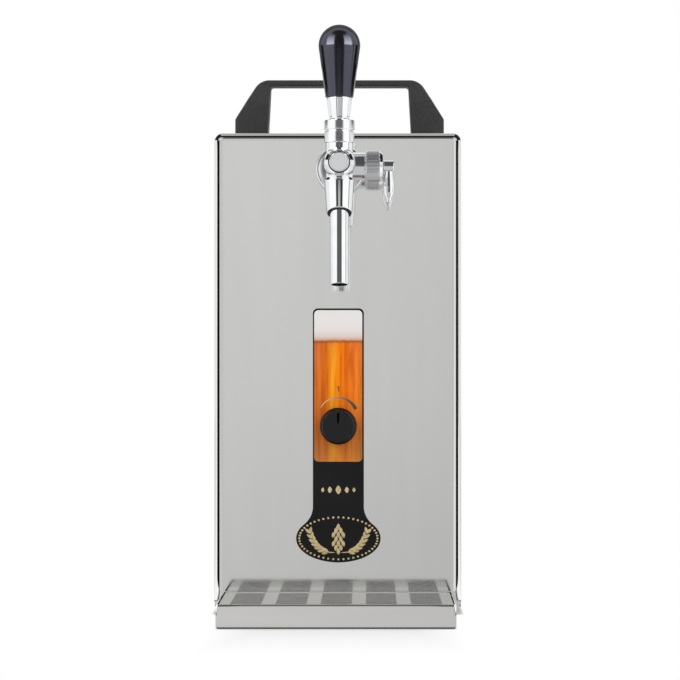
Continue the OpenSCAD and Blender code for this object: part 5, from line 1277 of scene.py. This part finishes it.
def make_front_card():
    """The light grey card straight ahead that the panel mirrors; it is paler at the upper left.

    Its upper half is dark in the round tap parts, which stand nearer to it than the panel: a shorter ray
    finds little light there. A small card before it lights the tap's flat front plug.
    """
    away, grey, grey_per_x, grey_per_z = 1000.0, 0.625, -0.23, 0.14
    y = PANEL_Y - away
    tree = add_card("front_card", upright(-165, 142, y, 0, 455))
    at = object_axes(tree)
    shade = add_node(tree, "Math", {0: at["X"], 1: grey_per_x, 2: grey}, operation="MULTIPLY_ADD")
    shade = add_node(tree, "Math", {0: at["Z"], 1: grey_per_z, 2: shade}, operation="MULTIPLY_ADD")
    foot = add_node(
        tree, "MapRange",
        {"Value": at["Z"], "From Min": 0.0, "From Max": 0.14, "To Min": -0.03, "To Max": 0.0},
    )
    shade = add_node(tree, "Math", {0: shade, 1: foot}, operation="ADD")
    dark = add_node(
        tree, "MapRange",
        {"Value": at["Z"], "From Min": 0.21, "From Max": 0.235, "To Min": 0.5, "To Max": 0.12},
    )
    length = add_node(tree, "LightPath").outputs["Ray Length"]
    long_ray = add_node(
        tree, "MapRange", {"Value": length, "From Min": (away - 42) * MM, "From Max": (away - 32) * MM}
    )
    level = add_node(tree, "Mix", {"Factor": long_ray, "A": dark, "B": shade}, data_type="FLOAT")
    add_node(tree, "OutputMaterial", {"Surface": add_node(tree, "Emission", {"Strength": level})})
    tree = add_card("plug_card", upright(-24, 8, y + 4, 364, 398))
    add_node(tree, "OutputMaterial", {"Surface": add_node(tree, "Emission", {"Strength": 0.68})})


def make_world():
    """White for the camera and plain light for matt surfaces.

    For gloss it is a studio of two white screens, left and right, with a dark gap between them overhead and
    in front, and pale behind.
    """
    world = bpy.data.worlds.new("studio")
    world.use_nodes = True
    tree = world.node_tree
    tree.nodes.clear()
    way = add_node(tree, "TexCoord").outputs["Generated"]
    at = add_node(tree, "SeparateXYZ", {"Vector": way}).outputs
    wide = add_node(tree, "Math", {0: at["X"]}, operation="ABSOLUTE")
    front = add_node(tree, "MapRange", {"Value": at["Y"], "From Min": 0.05, "From Max": -0.1})
    middle = add_node(tree, "MapRange", {"Value": wide, "From Min": 0.54, "From Max": 0.44})
    screen = add_node(
        tree, "MapRange",
        {"Value": at["X"], "From Min": 0.984, "From Max": 0.99, "To Min": 1.08, "To Max": 0.25},
    )
    dark = add_node(
        tree, "MapRange",
        {"Value": wide, "From Min": 0.0, "From Max": 0.46, "To Min": 0.08, "To Max": 0.13},
    )
    gap = add_node(tree, "Math", {0: middle, 1: front}, operation="MULTIPLY")
    ray = add_node(tree, "LightPath").outputs
    pale_behind, matt_light, white = 0.92, 0.78, 1.0
    gloss = add_node(tree, "Mix", {"Factor": front, "A": pale_behind, "B": screen}, data_type="FLOAT")
    gloss = add_node(tree, "Mix", {"Factor": gap, "A": gloss, "B": dark}, data_type="FLOAT")
    light = add_node(
        tree, "Mix", {"Factor": ray["Is Glossy Ray"], "A": matt_light, "B": gloss}, data_type="FLOAT"
    )
    light = add_node(
        tree, "Mix", {"Factor": ray["Is Camera Ray"], "A": light, "B": white}, data_type="FLOAT"
    )
    back = add_node(tree, "Background", {"Color": (1.0, 1.0, 1.0, 1.0), "Strength": light})
    add_node(tree, "OutputWorld", {"Surface": back})
    bpy.context.scene.world = world


def add_lamp(name, place, power):
    """A soft square lamp that faces the object, left out of mirrors, where the studio stands for it."""
    target, size = (0, 0, 0.2), 0.9
    data = bpy.data.lights.new(name, "AREA")
    data.shape, data.size, data.energy = "SQUARE", size, power
    lamp = bpy.data.objects.new(name, data)
    lamp.location = place
    lamp.rotation_mode = "QUATERNION"
    lamp.rotation_quaternion = (Vector(target) - Vector(place)).to_track_quat("-Z", "Y")
    lamp.visible_glossy = False
    bpy.context.scene.collection.objects.link(lamp)


def make_camera():
    """The photograph's camera: level, straight at the front panel, a little to the right of its middle."""
    picture_px, focal_px, left_px, up_px = 680.0, 2622.0, 28.0, 18.0
    aside, away, height = 21.4, 1850.0, 181.0
    data = bpy.data.cameras.new("camera")
    data.sensor_width = 36.0
    data.lens = focal_px / picture_px * data.sensor_width
    data.shift_x = -left_px / picture_px
    data.shift_y = up_px / picture_px
    camera = bpy.data.objects.new("camera", data)
    camera.location = (aside * MM, (PANEL_Y - away) * MM, height * MM)
    camera.rotation_euler = (np.pi / 2, 0, 0)
    bpy.context.scene.collection.objects.link(camera)
    bpy.context.scene.camera = camera


make_floor()
make_edge_cards()
make_grip_cards()
make_front_card()
make_world()
add_lamp("key_lamp", (-0.9, -1.1, 1.3), 10.0)
add_lamp("fill_lamp", (1.1, -0.7, 0.9), 5.0)
make_camera()
bpy.context.scene.view_settings.view_transform = "Standard"
